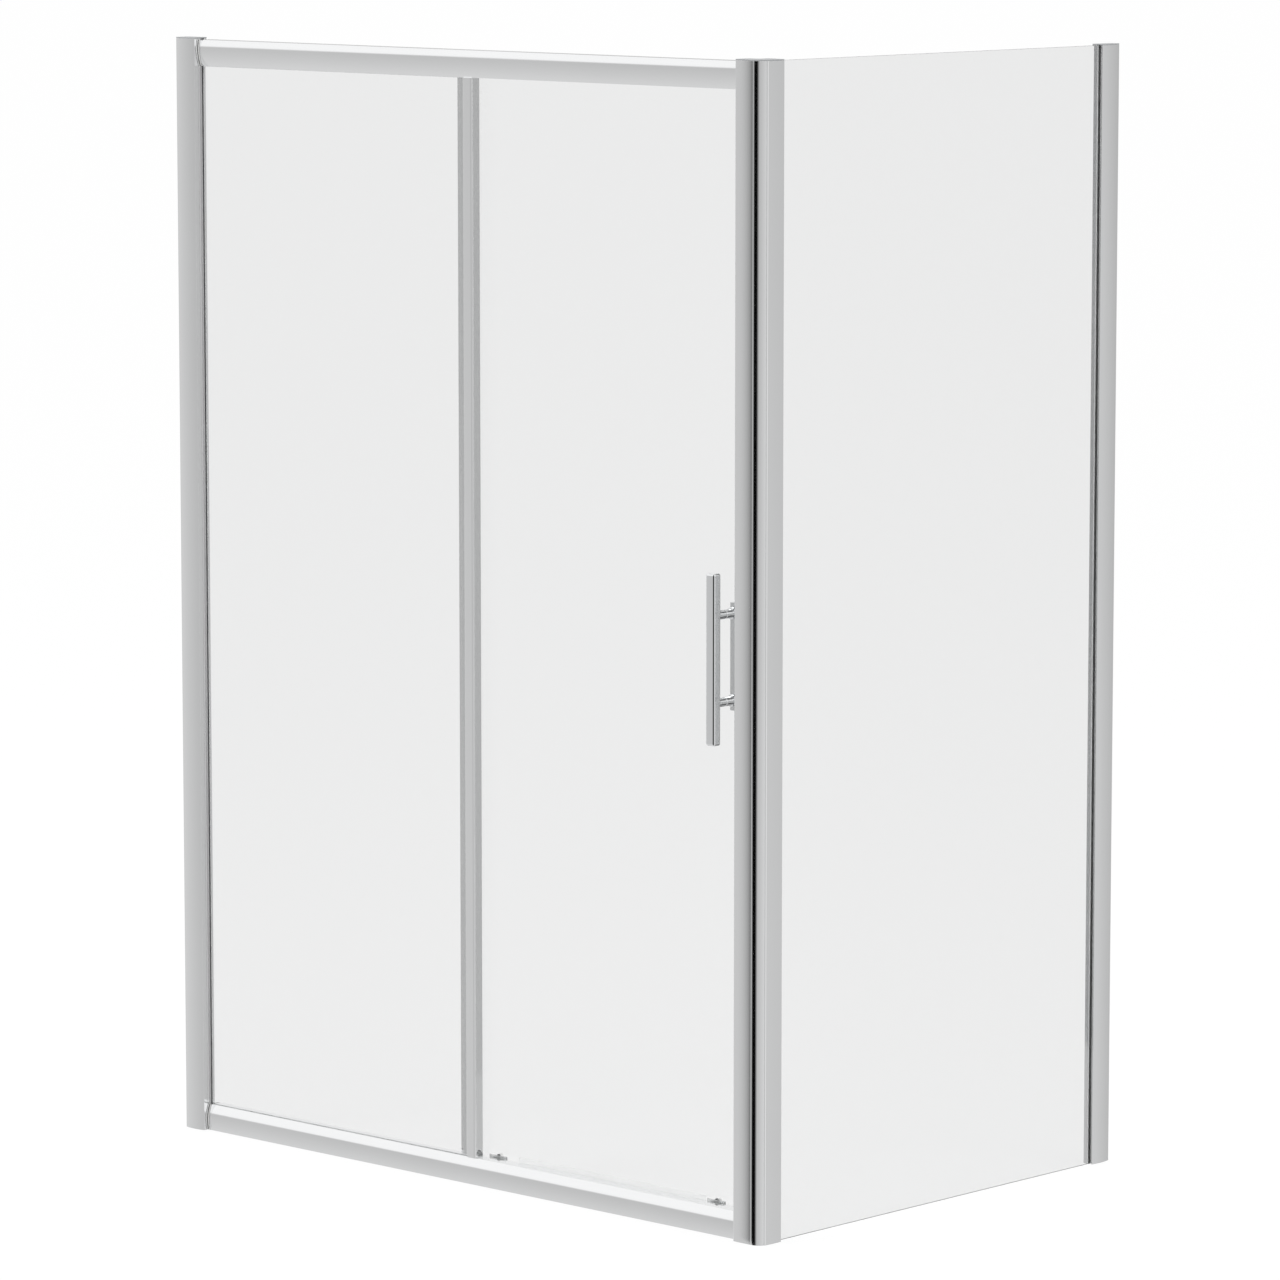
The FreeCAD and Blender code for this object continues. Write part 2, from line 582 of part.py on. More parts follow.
side_outer_bead = [(40.5, outer_wall), (side_lip_end, outer_wall), (46, outer_wall - 0.4),
                   (46, side_pane), (40.5, side_pane)]
side_inner_bead = [(40.5, side_pane + pane), (side_face + 1.4, side_pane + pane),
                   (side_face + 1.4, inner_wall + 0.4), (side_face, inner_wall + 0.9),
                   (side_face, inner_wall), (40.5, inner_wall)]
corner_outer_bead = [(-side_pane, side_start), (-outer_wall, side_start), (-outer_wall, side_end),
                     (-outer_wall + 0.8, side_end), (-side_pane, side_end + 1.6)]
corner_inner_bead = [(-inner_wall, side_start), (-side_pane - pane, side_start),
                     (-side_pane - pane, side_end + 1.6), (-inner_wall - 0.8, side_end),
                     (-inner_wall, side_end)]
upright_group("side_glass_gaskets", [on_right_post(side_outer_bead), on_right_post(side_inner_bead),
                                     corner_outer_bead, corner_inner_bead],
              POST_LENGTH + " - dims.side_pane_low - dims.side_pane_high", place(0, 0, dim("side_pane_low")))

# the middle profile holds the fixed pane's free edge and hooks into the door's edge
middle_left = dim("middle_left")
middle_right = dim("middle_right")
middle_front = front_lip - 3.0
middle_back = 34.0
hook_wall = 1.6
pane_edge = middle_right - dim("fixed_pane_end") + 0.8
middle_outline = [(middle_left, front_lip), (middle_left, front_lip - 0.5),
                  (middle_left + 2.5, middle_front, -0.73), (middle_right - 4, middle_front),
                  (middle_right, front_lip + 1, -1.17), (middle_right, middle_back),
                  (middle_left + 6, middle_back), (middle_left + 6, middle_back - hook_wall),
                  (middle_right - 1.8, middle_back - hook_wall), (middle_right - 1.8, 28.2),
                  (middle_left + 3, 28.2), (middle_left + 3, back_lip), (pane_edge, back_lip),
                  (pane_edge, front_lip)]
extrude("middle_profile", [middle_outline], PANE_SPAN, UPRIGHT, place(0, 0, RAIL_HIGH))
fin_foot = middle_back + 1.2
fin = [(middle_left + 7, middle_back), (middle_left + 15, middle_back), (middle_left + 15, fin_foot),
       (middle_left + 12.6, fin_foot + 0.4), (middle_left + 11.2, 42.7), (middle_left + 10.4, 42.7),
       (middle_left + 10.8, fin_foot + 0.4), (middle_left + 7, fin_foot)]
extrude("wiper_seal", [fin], PANE_SPAN, UPRIGHT, place(0, 0, RAIL_HIGH))

# a cover closes the empty groove beside the doorway
cover_legs = 36.0
cover_under = 44.6
cover_leg_wall = 1.2
groove_cover = [(front_lip, cover_legs), (front_lip + cover_leg_wall, cover_legs),
                (front_lip + cover_leg_wall, cover_under), (back_lip - cover_leg_wall, cover_under),
                (back_lip - cover_leg_wall, cover_legs), (back_lip, cover_legs),
                (back_lip, RAIL_HIGH), (front_lip, RAIL_HIGH)]
gather("rail_groove_covers",
       [along_rail("groove_cover_" + level, [groove_cover],
                   "-dims.middle_right - dims.corner_cover_start - dims.corner_cover_width"
                   " - dims.rail_plug_thick - 0.4", middle_right + 0.2, level == "high")
        for level in ("low", "high")])

# buffers on the top rail stop the rollers at both ends of the door's travel
buffer_length = 14.0
buffer_high = 26.0
buffer_gap = dim("wheel_radius") + 0.8
buffer_front = back_lip + rail_wall + 0.1
buffer_size = (buffer_length, lip_front - 0.1 - buffer_front, buffer_high)
buffer_starts = {"left": dim("roller_left") - dim("door_travel") - buffer_gap - buffer_length,
                 "right": dim("roller_right") + buffer_gap}
gather("door_buffers", [block("buffer_" + side, place(along, buffer_front, RAIL_TOP - RAIL_HIGH + rail_wall),
                              buffer_size) for side, along in buffer_starts.items()])


# ---- door: glass with its fixing holes, edge profiles and seals ----

door_left = dim("door_left")
door_right = dim("door_right")
door_low = dim("door_bottom")
door_front = dim("door_pane_depth")
door_back = door_front + pane
edge_lip = dim("door_edge_lip")
edge_web = dim("door_edge_web")
glass_left = door_left + edge_web
bottom_axle = lip_end - dim("wheel_gap") - dim("wheel_groove_radius")
top_axle = RAIL_TOP - bottom_axle
fixing_height = bottom_axle - dim("release_travel") / 2  # middle of the bottom wheels' stroke
handle_x = dim("handle_along")
handle_z = dim("handle_height")
handle_heights = [handle_z - dim("handle_pitch") / 2, handle_z + dim("handle_pitch") / 2]
rollers = (("left", dim("roller_left")), ("right", dim("roller_right")))

door_glass = pane_sheet("door_glass", "dims.door_right - dims.door_left - dims.door_edge_web", DOOR_SPAN,
                        FACING_FRONT, place(glass_left, door_back, door_low))
glass_holes = [(handle_x, z, 5.0) for z in handle_heights]
glass_holes += [(along, fixing_height, 9.0) for side, along in rollers]
glass_holes += [(along, top_axle, 6.5) for side, along in rollers]
drill(door_glass, "door_glass_holes", [(x - glass_left, z - door_low, r) for x, z, r in glass_holes],
      "XY_Plane", 20)

edge_width = 19.0
edge_outline = [(door_left, door_front - edge_lip), (door_left + edge_width, door_front - edge_lip),
                (door_left + edge_width, door_front), (glass_left, door_front), (glass_left, door_back),
                (door_left + edge_width, door_back), (door_left + edge_width, door_back + edge_web),
                (door_left, door_back + edge_web)]
extrude("door_edge_profile", [edge_outline], DOOR_SPAN, UPRIGHT, place(0, 0, door_low))
hook_left = door_left + 3
hook_web = door_left + 17.2
hook_tip = middle_right - 7
hook_front = 29.6
hook_foot = 40.2
extrude("door_hook_profile",
        [[(hook_left, hook_foot), (hook_web, hook_foot), (hook_web, hook_front), (hook_tip, hook_front),
          (hook_tip, hook_front + 1.4), (hook_web + hook_wall, hook_front + 1.4),
          (hook_web + hook_wall, door_front - edge_lip), (hook_left, door_front - edge_lip)]],
        PANE_SPAN + " - 4", UPRIGHT, place(0, 0, RAIL_HIGH + 2))

seal_end = -47.2
seal_grip = door_right - 8
seal_wall = 1.4
seal_taper = seal_end - 3
extrude("closing_seal",
        [[(seal_grip, door_front - seal_wall), (seal_taper, door_front - seal_wall), (seal_end, door_front),
          (seal_end, door_back), (seal_taper, door_back + seal_wall), (seal_grip, door_back + seal_wall),
          (seal_grip, door_back), (door_right, door_back), (door_right, door_front),
          (seal_grip, door_front)]],
        DOOR_SPAN, UPRIGHT, place(0, 0, door_low))

drip_top = 54.0
drip_thick = 1.4
drip_reach = 9.0
extrude("drip_deflector",
        [[(door_back, 12), (door_back + drip_reach, 8.6), (door_back + drip_reach, 9.8),
          (door_back + drip_thick, 13.2), (door_back + drip_thick, drip_top), (door_back, drip_top)]],
        "dims.drip_right - dims.drip_left", ALONG_FRONT, place(dim("drip_left"), 0, 0))


# ---- handle: bar, two posts through the glass and a plate inside ----

bar_front = -dim("handle_reach")
bar_back = bar_front + dim("handle_bar_depth")
half_bar = dim("handle_bar_width") / 2
handle_bar = extrude("handle_bar", [rectangle(handle_x - half_bar, bar_front, handle_x + half_bar, bar_back)],
                     "dims.handle_length", UPRIGHT, place(0, 0, handle_z - dim("handle_length") / 2))
doc.recompute()
bar_pad = handle_bar.Tip
upright_edges = ["Edge%d" % number for number, edge in enumerate(bar_pad.Shape.Edges, start=1)
                 if abs(edge.tangentAt(edge.FirstParameter).z) > 0.9]
fillet = handle_bar.newObject("PartDesign::Fillet", "handle_bar_rounds")
fillet.Base = (bar_pad, upright_edges)
fillet.setExpression("Radius", "dims.handle_edge_radius")

flange_front = 39.4
flange_back = door_front - 0.6
flange_r = dim("handle_flange_radius")
flange_edge = 0.8
plate_front = door_back + 0.6
plate_back = plate_front + dim("plate_thick")
post_r = dim("handle_post_radius")
neck_r = post_r - 0.6  # a fine turned groove round each post
bolt_r = 3.0
handle_centres = [place(handle_x, 0, z) for z in handle_heights]
neck_start, neck_end = 22.0, 24.6
turned_group("handle_posts", [(0, bar_back), (post_r, bar_back), (post_r, neck_start),
                              (neck_r, neck_start + 0.6), (neck_r, neck_end - 0.6), (post_r, neck_end),
                              (post_r, flange_front), (0, flange_front)], handle_centres)
turned_group("handle_flanges", [(bolt_r, flange_front), (flange_r - flange_edge, flange_front),
                                (flange_r, flange_front + flange_edge), (flange_r, flange_back),
                                (bolt_r, flange_back)], handle_centres)
gather("handle_washers",
       [turned("handle_washer_%s_%d" % (side, number), rectangle(bolt_r, low, outer, high), centre)
        for side, low, high, outer in (("front", flange_back, door_front, flange_r - 0.4),
                                       ("back", door_back, plate_front, 7.4))
        for number, centre in enumerate(handle_centres, start=1)])
half_plate = dim("plate_width") / 2
plate_low = handle_z - dim("plate_height") / 2
handle_plate = extrude("handle_plate",
                       [rectangle(handle_x - half_plate, plate_front, handle_x + half_plate, plate_back)],
                       "dims.plate_height", UPRIGHT, place(0, 0, plate_low))
drill(handle_plate, "handle_plate_holes", [(handle_x, z - plate_low, bolt_r) for z in handle_heights],
      "XZ_Plane", 200)
bolt_shank = bolt_r - 0.1
bolt_head_low, bolt_head_high = plate_back + 1.2, plate_back + 2.6
socket_r = 1.6
turned_group("handle_bolts", [(0, flange_front), (bolt_shank, flange_front), (bolt_shank, plate_back),
                              (5.2, plate_back), (5.2, bolt_head_low), (3.6, bolt_head_high),
                              (socket_r, bolt_head_high), (socket_r, bolt_head_low), (0, bolt_head_low)],
             handle_centres)


# ---- rollers: grooved wheels on the rails' lips ----

wheel_r = dim("wheel_radius")
half_wheel = dim("wheel_width") / 2
groove_r = dim("wheel_groove_radius")
axle_r = dim("axle_radius")
bore_r = axle_r + dim("bore_clearance")
bearing_r = 6.5
groove_mouth, groove_bed = 1.9, 1.3
bearing_half = half_wheel - 0.2
wheel_section = [(bearing_r, -half_wheel), (wheel_r, -half_wheel), (wheel_r, -groove_mouth),
                 (groove_r, -groove_bed), (groove_r, groove_bed), (wheel_r, groove_mouth),
                 (wheel_r, half_wheel), (bearing_r, half_wheel)]
bearing_section = [(bore_r, -bearing_half), (bearing_r, -bearing_half), (bearing_r, bearing_half),
                   (bore_r, bearing_half)]
for side, along in rollers:
    for level, height in (("top", top_axle), ("bottom", bottom_axle)):
        centre = place(along, dim("lip_depth"), height)
        turned("%s_wheel_%s" % (level, side), wheel_section, centre)
        turned("%s_bearing_%s" % (level, side), bearing_section, centre)

# axles: (radius, axial) sections measured from the wheel's middle
axle_head_r = 4.6
head_low = -half_wheel - 1.3
head_high = -half_wheel - 0.3
head_end = [(0, head_low), (axle_head_r, head_low), (axle_head_r, head_high), (axle_r, head_high)]
glass_outside = door_front - dim("lip_depth")
glass_inside = door_back - dim("lip_depth")
collar_r, sleeve_r, stud_r = 8.5, 6.4, 4.0
stud_end = glass_inside + 4
top_centres = [place(along, dim("lip_depth"), top_axle) for side, along in rollers]
turned_group("top_axles", head_end + [(axle_r, half_wheel + 0.4), (collar_r, half_wheel + 0.4),
                                      (collar_r, glass_outside), (sleeve_r, glass_outside),
                                      (sleeve_r, glass_inside), (stud_r, glass_inside), (stud_r, stud_end),
                                      (0, stud_end)], top_centres)
cap_r = 12.0
cap_top = glass_inside + 6
cap_flat_r, cap_sag = 3.0, 0.45
turned_group("top_axle_caps", [(stud_r, glass_inside), (cap_r, glass_inside), (cap_r, glass_inside + 3),
                               (cap_flat_r, cap_top, cap_sag), (0, cap_top), (0, stud_end + 0.1),
                               (stud_r, stud_end + 0.1)], top_centres)

# bottom rollers: a carrier plate and a housing hold a sprung slider; pressing the slider's
# rounded top lowers its wheel off the lip, and the door's foot swings in for cleaning
slot_half = axle_r + 0.4
slot = rectangle(-slot_half, bottom_axle - dim("release_travel") - slot_half,
                 slot_half, bottom_axle + slot_half)
fixing_offset = 7.2
fixing_hole = 1.3
housing_front = door_back + dim("carrier_thick")
slider_front = housing_front + dim("slider_clearance")
slider_back = slider_front + dim("slider_thick")
channel_back = slider_back + dim("slider_clearance")
housing_back = channel_back + 2.7
housing_half = 13.0
housing_round = 4.0
housing_low = 6.0
housing_top = 47.0
half_slider = dim("slider_width") / 2
half_channel = half_slider + dim("slider_clearance")
channel_floor = 8.0
slider_low = 20.0
slider_top = 52.0
pin_r = 2.4  # the axle's pressed end in the slider
SPRING_STEPS = 16  # rings to a turn


def slotted_plate(name, half_width, low, high, thickness, back, along):
    return extrude(name, [rectangle(-half_width, low, half_width, high), slot], thickness, FACING_FRONT,
                   place(along, back, 0), [(-fixing_offset, fixing_height, fixing_hole),
                                           (fixing_offset, fixing_height, fixing_hole)])


def roller_housing(name, along):
    body = new_body(name)
    outer = new_sketch(body, name + "_outer")
    sag = -housing_round * (1 - math.cos(math.pi / 4))
    side = housing_back - housing_round
    draw_outline(outer, [(-housing_half, housing_front), (housing_half, housing_front), (housing_half, side),
                         (housing_half - housing_round, housing_back, sag),
                         (housing_round - housing_half, housing_back), (-housing_half, side, sag)])
    pad = body.newObject("PartDesign::Pad", name + "_pad")
    pad.Profile = outer
    pad.Length = housing_top - housing_low
    pad.Reversed = True
    channel = new_sketch(body, name + "_channel")
    draw_outline(channel, rectangle(-half_channel, housing_front - 1, half_channel, channel_back))
    pocket = body.newObject("PartDesign::Pocket", name + "_pocket")
    pocket.Profile = channel
    pocket.Length = housing_top - channel_floor
    body.Placement = FreeCAD.Placement(place(along, 0, housing_top), UPRIGHT)
    drill(body, name + "_holes", [(-fixing_offset, fixing_height - housing_top, fixing_hole),
                                  (fixing_offset, fixing_height - housing_top, fixing_hole)], "XZ_Plane", 200)
    return body


def release_slider(name, along):
    # a bar with a round top, bored for the axle's pressed end
    shoulder = slider_top - half_slider
    slider = extrude(name, [[(-half_slider, slider_low), (half_slider, slider_low), (half_slider, shoulder),
                             (-half_slider, shoulder, -half_slider + 0.01)]],
                     "dims.slider_thick", FACING_FRONT, place(along, slider_back, 0))
    drill(slider, name + "_bore", [(0, bottom_axle, pin_r + 0.02)], "XY_Plane", 30)


def release_axle(name, along):
    collar = half_wheel + 0.3
    press_start = slider_front - dim("lip_depth")
    press_end = slider_back - dim("lip_depth")
    turned(name, head_end + [(axle_r, collar), (4.4, collar), (4.4, collar + 0.6), (axle_r, collar + 0.6),
                             (axle_r, press_start), (pin_r, press_start), (pin_r, press_end), (0, press_end)],
           place(along, dim("lip_depth"), bottom_axle))


def compression_spring(label, along):
    # open helix from the channel's floor to the slider, through six-sided rings of the wire's area
    wire = dim("spring_wire")
    coil = dim("spring_radius")
    pitch = dim("spring_pitch")
    ring_radius = wire * math.sqrt(math.pi / (3 * math.sin(math.pi / 3)))
    rise = slider_low - channel_floor - 2 * ring_radius
    turns = rise / pitch
    steps = round(turns * SPRING_STEPS)
    rings = []
    for step in range(steps + 1):
        angle = 2 * math.pi * turns * step / steps
        outward = FreeCAD.Vector(math.cos(angle), math.sin(angle), 0)
        forward = FreeCAD.Vector(-coil * math.sin(angle), coil * math.cos(angle), pitch / (2 * math.pi))
        upward = outward.cross(forward.normalize())
        centre = outward * coil + Z_AXIS * (rise * step / steps)
        corners = []
        for side in range(6):
            turn = math.pi * side / 3
            corners.append(centre + (outward * math.cos(turn) + upward * math.sin(turn)) * ring_radius)
        rings.append(Part.makePolygon(corners + corners[:1]))
    spring = doc.addObject("Part::Feature", label)
    spring.Label = label
    spring.Shape = Part.makeLoft(rings, True, True)
    spring.Placement = FreeCAD.Placement(
        place(along, (housing_front + channel_back) / 2, channel_floor + ring_radius), UPRIGHT)
    sub_parts.append(spring)
    wound = turns * math.hypot(2 * math.pi * coil, pitch)
    print("%s: %.1f turns %.1f mm apart, volume %.1f of %.1f"
          % (label, turns, pitch - 2 * ring_radius, spring.Shape.Volume, wound * math.pi * wire ** 2))


for side, along in rollers:
    release_slider("release_slider_" + side, along)
    release_axle("release_axle_" + side, along)
    compression_spring("release_spring_" + side, along)

gather("carrier_plates", [slotted_plate("carrier_plate_" + side, 19.5, 8, 50, "dims.carrier_thick",
                                        housing_front, along) for side, along in rollers])
gather("clamp_plates", [slotted_plate("clamp_plate_" + side, 12, 15, 36, "dims.door_edge_lip",
                                      door_front, along) for side, along in rollers])
gather("roller_housings", [roller_housing("roller_housing_" + side, along) for side, along in rollers])

# screws from the housing through the carrier and the glass into the clamp plate
screw_head_high = 1.6
screw_top = housing_back + screw_head_high
gather("roller_screws",
       [screw("roller_screw_%s_%s" % (side, hand), place(along + offset, screw_top, fixing_height), -Y_AXIS,
              2.4, screw_head_high, fixing_hole - 0.05, screw_top - door_front + edge_lip)
        for side, along in rollers
        for hand, offset in (("left", -fixing_offset), ("right", fixing_offset))])


# ---- every piece is rebuilt, tested and written ----

doc.recompute()
faults = []
for item in doc.Objects:
    if any(state in ("Invalid", "Error") for state in item.State):
        faults.append("%s: %s" % (item.Label, item.State))
for part in sub_parts:
    shape = part.Shape
    if shape.isNull() or not shape.isValid() or shape.Volume <= 0:
        faults.append(part.Label + ": no valid solid")
if faults:
    raise RuntimeError("not built: " + "; ".join(faults))

os.makedirs("parts", exist_ok=True)
for part in sub_parts:
    part.Shape.exportStep("parts/%s.step" % part.Label)
print("%d sub-parts written" % len(sub_parts))
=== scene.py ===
import json
import math

import bmesh
import bpy
from mathutils import Matrix, Vector


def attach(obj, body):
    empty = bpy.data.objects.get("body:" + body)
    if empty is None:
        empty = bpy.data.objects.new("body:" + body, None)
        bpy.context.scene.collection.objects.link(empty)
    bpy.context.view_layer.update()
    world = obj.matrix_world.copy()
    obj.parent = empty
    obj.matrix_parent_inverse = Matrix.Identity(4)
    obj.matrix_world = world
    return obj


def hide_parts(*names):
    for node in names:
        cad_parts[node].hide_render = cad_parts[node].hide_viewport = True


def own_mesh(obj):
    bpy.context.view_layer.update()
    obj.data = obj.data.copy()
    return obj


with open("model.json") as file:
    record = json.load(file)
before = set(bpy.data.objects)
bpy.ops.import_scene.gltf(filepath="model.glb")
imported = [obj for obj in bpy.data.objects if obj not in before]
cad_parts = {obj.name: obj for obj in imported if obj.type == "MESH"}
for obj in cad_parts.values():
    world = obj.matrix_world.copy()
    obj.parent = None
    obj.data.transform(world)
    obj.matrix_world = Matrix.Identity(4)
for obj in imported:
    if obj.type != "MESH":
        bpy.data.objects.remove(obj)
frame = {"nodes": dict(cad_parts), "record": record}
nodes = frame["nodes"]
slotOf = {part["node"]: part["material_slot"] for part in frame["record"]["subparts"]}
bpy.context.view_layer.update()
scene = bpy.context.scene
print("frame loaded:", len(nodes), "nodes")

# Sections are drawn in millimetres: "along" runs along the front, 0 at the corner and negative
# towards the left wall, and "depth" runs from the front's outer face into the shower.


# nodes of the materials

def newMaterial(name):
    mat = bpy.data.materials.new(name)
    mat.use_nodes = True
    mat.node_tree.nodes.clear()
    return mat, mat.node_tree.nodes, mat.node_tree.links


def setInputs(item, **values):
    for key, value in values.items():
        item.inputs[key.replace("_", " ")].default_value = value


def objectSpace(tree, links, scale):
    coords = tree.new("ShaderNodeTexCoord")
    mapping = tree.new("ShaderNodeMapping")
    mapping.inputs["Scale"].default_value = scale
    links.new(coords.outputs["Object"], mapping.inputs["Vector"])
    return mapping.outputs["Vector"]


def noiseOn(tree, links, vector, scale, detail=3.0, rough=0.5):
    item = tree.new("ShaderNodeTexNoise")
    setInputs(item, Scale=scale, Detail=detail, Roughness=rough)
    links.new(vector, item.inputs["Vector"])
    return item.outputs["Fac"]


def rangeOf(tree, links, source, low, high, fromLow=0.3, fromHigh=0.7):
    item = tree.new("ShaderNodeMapRange")
    setInputs(item, From_Min=fromLow, From_Max=fromHigh, To_Min=low, To_Max=high)
    links.new(source, item.inputs["Value"])
    return item.outputs["Result"]


rampEnds = (0.35, 0.65)


def rampOf(tree, links, source, darker, lighter):
    item = tree.new("ShaderNodeValToRGB")
    for element, colour, position in zip(item.color_ramp.elements, (darker, lighter), rampEnds):
        element.color = colour + (1,)
        element.position = position
    links.new(source, item.inputs["Fac"])
    return item.outputs["Color"]


def bumpOn(tree, links, height, strength, distance):
    item = tree.new("ShaderNodeBump")
    setInputs(item, Strength=strength, Distance=distance)
    links.new(height, item.inputs["Height"])
    return item.outputs["Normal"]


def mathOn(tree, links, operation, first, second):
    # first and second are sockets or numbers
    item = tree.new("ShaderNodeMath")
    item.operation = operation
    for index, value in enumerate((first, second)):
        if isinstance(value, (int, float)):
            item.inputs[index].default_value = value
        else:
            links.new(value, item.inputs[index])
    return item.outputs["Value"]


def mixOn(tree, links, share, first, second):
    item = tree.new("ShaderNodeMixShader")
    links.new(share, item.inputs["Fac"])
    links.new(first, item.inputs[1])
    links.new(second, item.inputs[2])
    return item.outputs["Shader"]


def mirroredOn(tree, links):
    # mirrored is 1 on the ways that polished metal has sent on, and seen on the camera's own, both
    # also through glass
    path = tree.new("ShaderNodeLightPath").outputs
    sentOn = mathOn(tree, links, "MINIMUM", path["Glossy Depth"], 1)
    spread = mathOn(tree, links, "MINIMUM", path["Diffuse Depth"], 1)
    mirrored = mathOn(tree, links, "MULTIPLY", sentOn, mathOn(tree, links, "SUBTRACT", 1, spread))
    seen = mathOn(tree, links, "MAXIMUM", path["Is Camera Ray"], path["Is Transmission Ray"])
    return mirrored, seen


def finishShader(tree, links, shader):
    out = tree.new("ShaderNodeOutputMaterial")
    links.new(shader, out.inputs["Surface"])


# finishes

evenly = (1, 1, 1)
metalMarks = {"lines": 420, "smears": 5, "duller": 0.988, "smoother": 0.88, "rougher": 1.14, "depth": 0.0001}


def polishedMetal(name, colour, rough, stretch, streak=0.012):
    # drawn and polished: fine die lines along the length, faint smears of handling
    mat, tree, links = newMaterial(name)
    bsdf = tree.new("ShaderNodeBsdfPrincipled")
    setInputs(bsdf, Metallic=1.0)
    dieLines = noiseOn(tree, links, objectSpace(tree, links, stretch), metalMarks["lines"], 2.0)
    smears = noiseOn(tree, links, objectSpace(tree, links, evenly), metalMarks["smears"], 4.0, 0.6)
    duller = tuple(part * metalMarks["duller"] for part in colour)
    links.new(rampOf(tree, links, smears, duller, colour), bsdf.inputs["Base Color"])
    links.new(rangeOf(tree, links, smears, rough * metalMarks["smoother"], rough * metalMarks["rougher"]),
              bsdf.inputs["Roughness"])
    links.new(bumpOn(tree, links, dieLines, streak, metalMarks["depth"]), bsdf.inputs["Normal"])
    finishShader(tree, links, bsdf.outputs["BSDF"])
    return mat


glassMarks = {"waves": 1.6, "swell": 0.006, "depth": 0.001, "drops": 9, "run": (1, 1, 0.4), "dull": 0.02,
              "shadow": (0.93, 0.94, 0.94, 1)}


def clearGlass(name, tint):
    # faint waves and water marks, and a light shadow
    mat, tree, links = newMaterial(name)
    bsdf = tree.new("ShaderNodeBsdfPrincipled")
    setInputs(bsdf, Base_Color=tint + (1,), IOR=1.5, Transmission_Weight=1.0)
    waves = noiseOn(tree, links, objectSpace(tree, links, evenly), glassMarks["waves"], 1.0)
    links.new(bumpOn(tree, links, waves, glassMarks["swell"], glassMarks["depth"]), bsdf.inputs["Normal"])
    drops = noiseOn(tree, links, objectSpace(tree, links, glassMarks["run"]), glassMarks["drops"], 5.0, 0.7)
    links.new(rangeOf(tree, links, drops, 0.0, glassMarks["dull"]), bsdf.inputs["Roughness"])
    light = tree.new("ShaderNodeLightPath")
    clear = tree.new("ShaderNodeBsdfTransparent")
    setInputs(clear, Color=glassMarks["shadow"])
    finishShader(tree, links, mixOn(tree, links, light.outputs["Is Shadow Ray"], bsdf.outputs["BSDF"],
                                    clear.outputs["BSDF"]))
    return mat


mouldMarks = {"grain": 900, "strength": 0.25, "depth": 0.00004, "broad": 14, "duller": 0.96,
              "smoother": 0.85, "rougher": 1.15}


def moulded(name, colour, rough, alpha=1.0):
    # moulded plastic or drawn rubber: fine grain, broad change of tone, see-through below alpha 1
    mat, tree, links = newMaterial(name)
    bsdf = tree.new("ShaderNodeBsdfPrincipled")
    setInputs(bsdf, IOR=1.47, Alpha=alpha)
    fine = noiseOn(tree, links, objectSpace(tree, links, evenly), mouldMarks["grain"], 2.0)
    broad = noiseOn(tree, links, objectSpace(tree, links, evenly), mouldMarks["broad"], 3.0)
    duller = tuple(part * mouldMarks["duller"] for part in colour)
    links.new(rampOf(tree, links, broad, duller, colour), bsdf.inputs["Base Color"])
    links.new(rangeOf(tree, links, broad, rough * mouldMarks["smoother"], rough * mouldMarks["rougher"]),
              bsdf.inputs["Roughness"])
    links.new(bumpOn(tree, links, fine, mouldMarks["strength"], mouldMarks["depth"]), bsdf.inputs["Normal"])
    finishShader(tree, links, bsdf.outputs["BSDF"])
    return mat


silver = (0.915, 0.92, 0.925)
finishes = {
    "polished_profile": polishedMetal("polishedUpright", silver, 0.085, (1, 1, 0.01)),
    "clear_glass": clearGlass("clearGlass", (0.866, 0.868, 0.868)),
    "cap_plastic": moulded("silverCap", (0.40, 0.41, 0.42), 0.32),
    "plug_plastic": moulded("whitePlug", (0.86, 0.86, 0.85), 0.38),
    "dark_gasket": moulded("greyGasket", (0.52, 0.52, 0.525), 0.5),
    "clear_seal": moulded("clearSeal", (0.90, 0.91, 0.91), 0.2, alpha=0.14),
    "clear_plastic": moulded("clearPlate", (0.80, 0.81, 0.81), 0.08, alpha=0.38),
    "magnet_seal": moulded("magnetSeal", (0.48, 0.48, 0.48), 0.45),
    "fixing_steel": polishedMetal("fixingSteel", (0.62, 0.61, 0.60), 0.26, evenly),
    "handle_chrome": polishedMetal("handleChrome", (0.86, 0.87, 0.88), 0.08, (1, 1, 0.02), 0.01),
    "fitting_chrome": polishedMetal("fittingChrome", (0.58, 0.59, 0.60), 0.06, evenly, 0.01),
    "roller_plastic": moulded("rollerPlastic", (0.84, 0.84, 0.83), 0.36),
}
polishedRail = polishedMetal("polishedRail", silver, 0.085, (0.01, 1, 1))
paleBead = moulded("paleBead", (0.84, 0.85, 0.85), 0.35, alpha=0.9)
# painted shade: near-black rims beside the white plugs stand in for the shadow in the joints
plugRim = moulded("plugRim", (0.10, 0.10, 0.10), 0.5)
# painted shade: a near-black pad on the release button's front stands in for the shade at the button
buttonPlastic = moulded("buttonPlastic", (0.03, 0.03, 0.032), 0.25)
for name, item in nodes.items():
    item.data.materials.clear()
    item.data.materials.append(finishes[slotOf[name]])
print("finishes made")


# shaping: sections run round as a vertex, then drawn out to a length or turned about an axis

mm = 0.001
arcStep = math.radians(3)
fewestSteps = 5
holeSides = 40
turnSteps = 48
weld = 0.0001
smoothBelow = math.radians(50)
origin = (695.0, -452.0)  # the corner's outer edge, where along and depth are 0


def place(along, depth, height=0.0):
    return Vector(((along + origin[0]) * mm, (depth + origin[1]) * mm, height * mm))


toMetres = Matrix.Scale(mm, 4)
upright = Matrix.Identity(4)
alongFront = Matrix(((0, 0, 1, 0), (1, 0, 0, 0), (0, 1, 0, 0), (0, 0, 0, 1)))
facingFront = Matrix(((1, 0, 0, 0), (0, 0, -1, 0), (0, 1, 0, 0), (0, 0, 0, 1)))


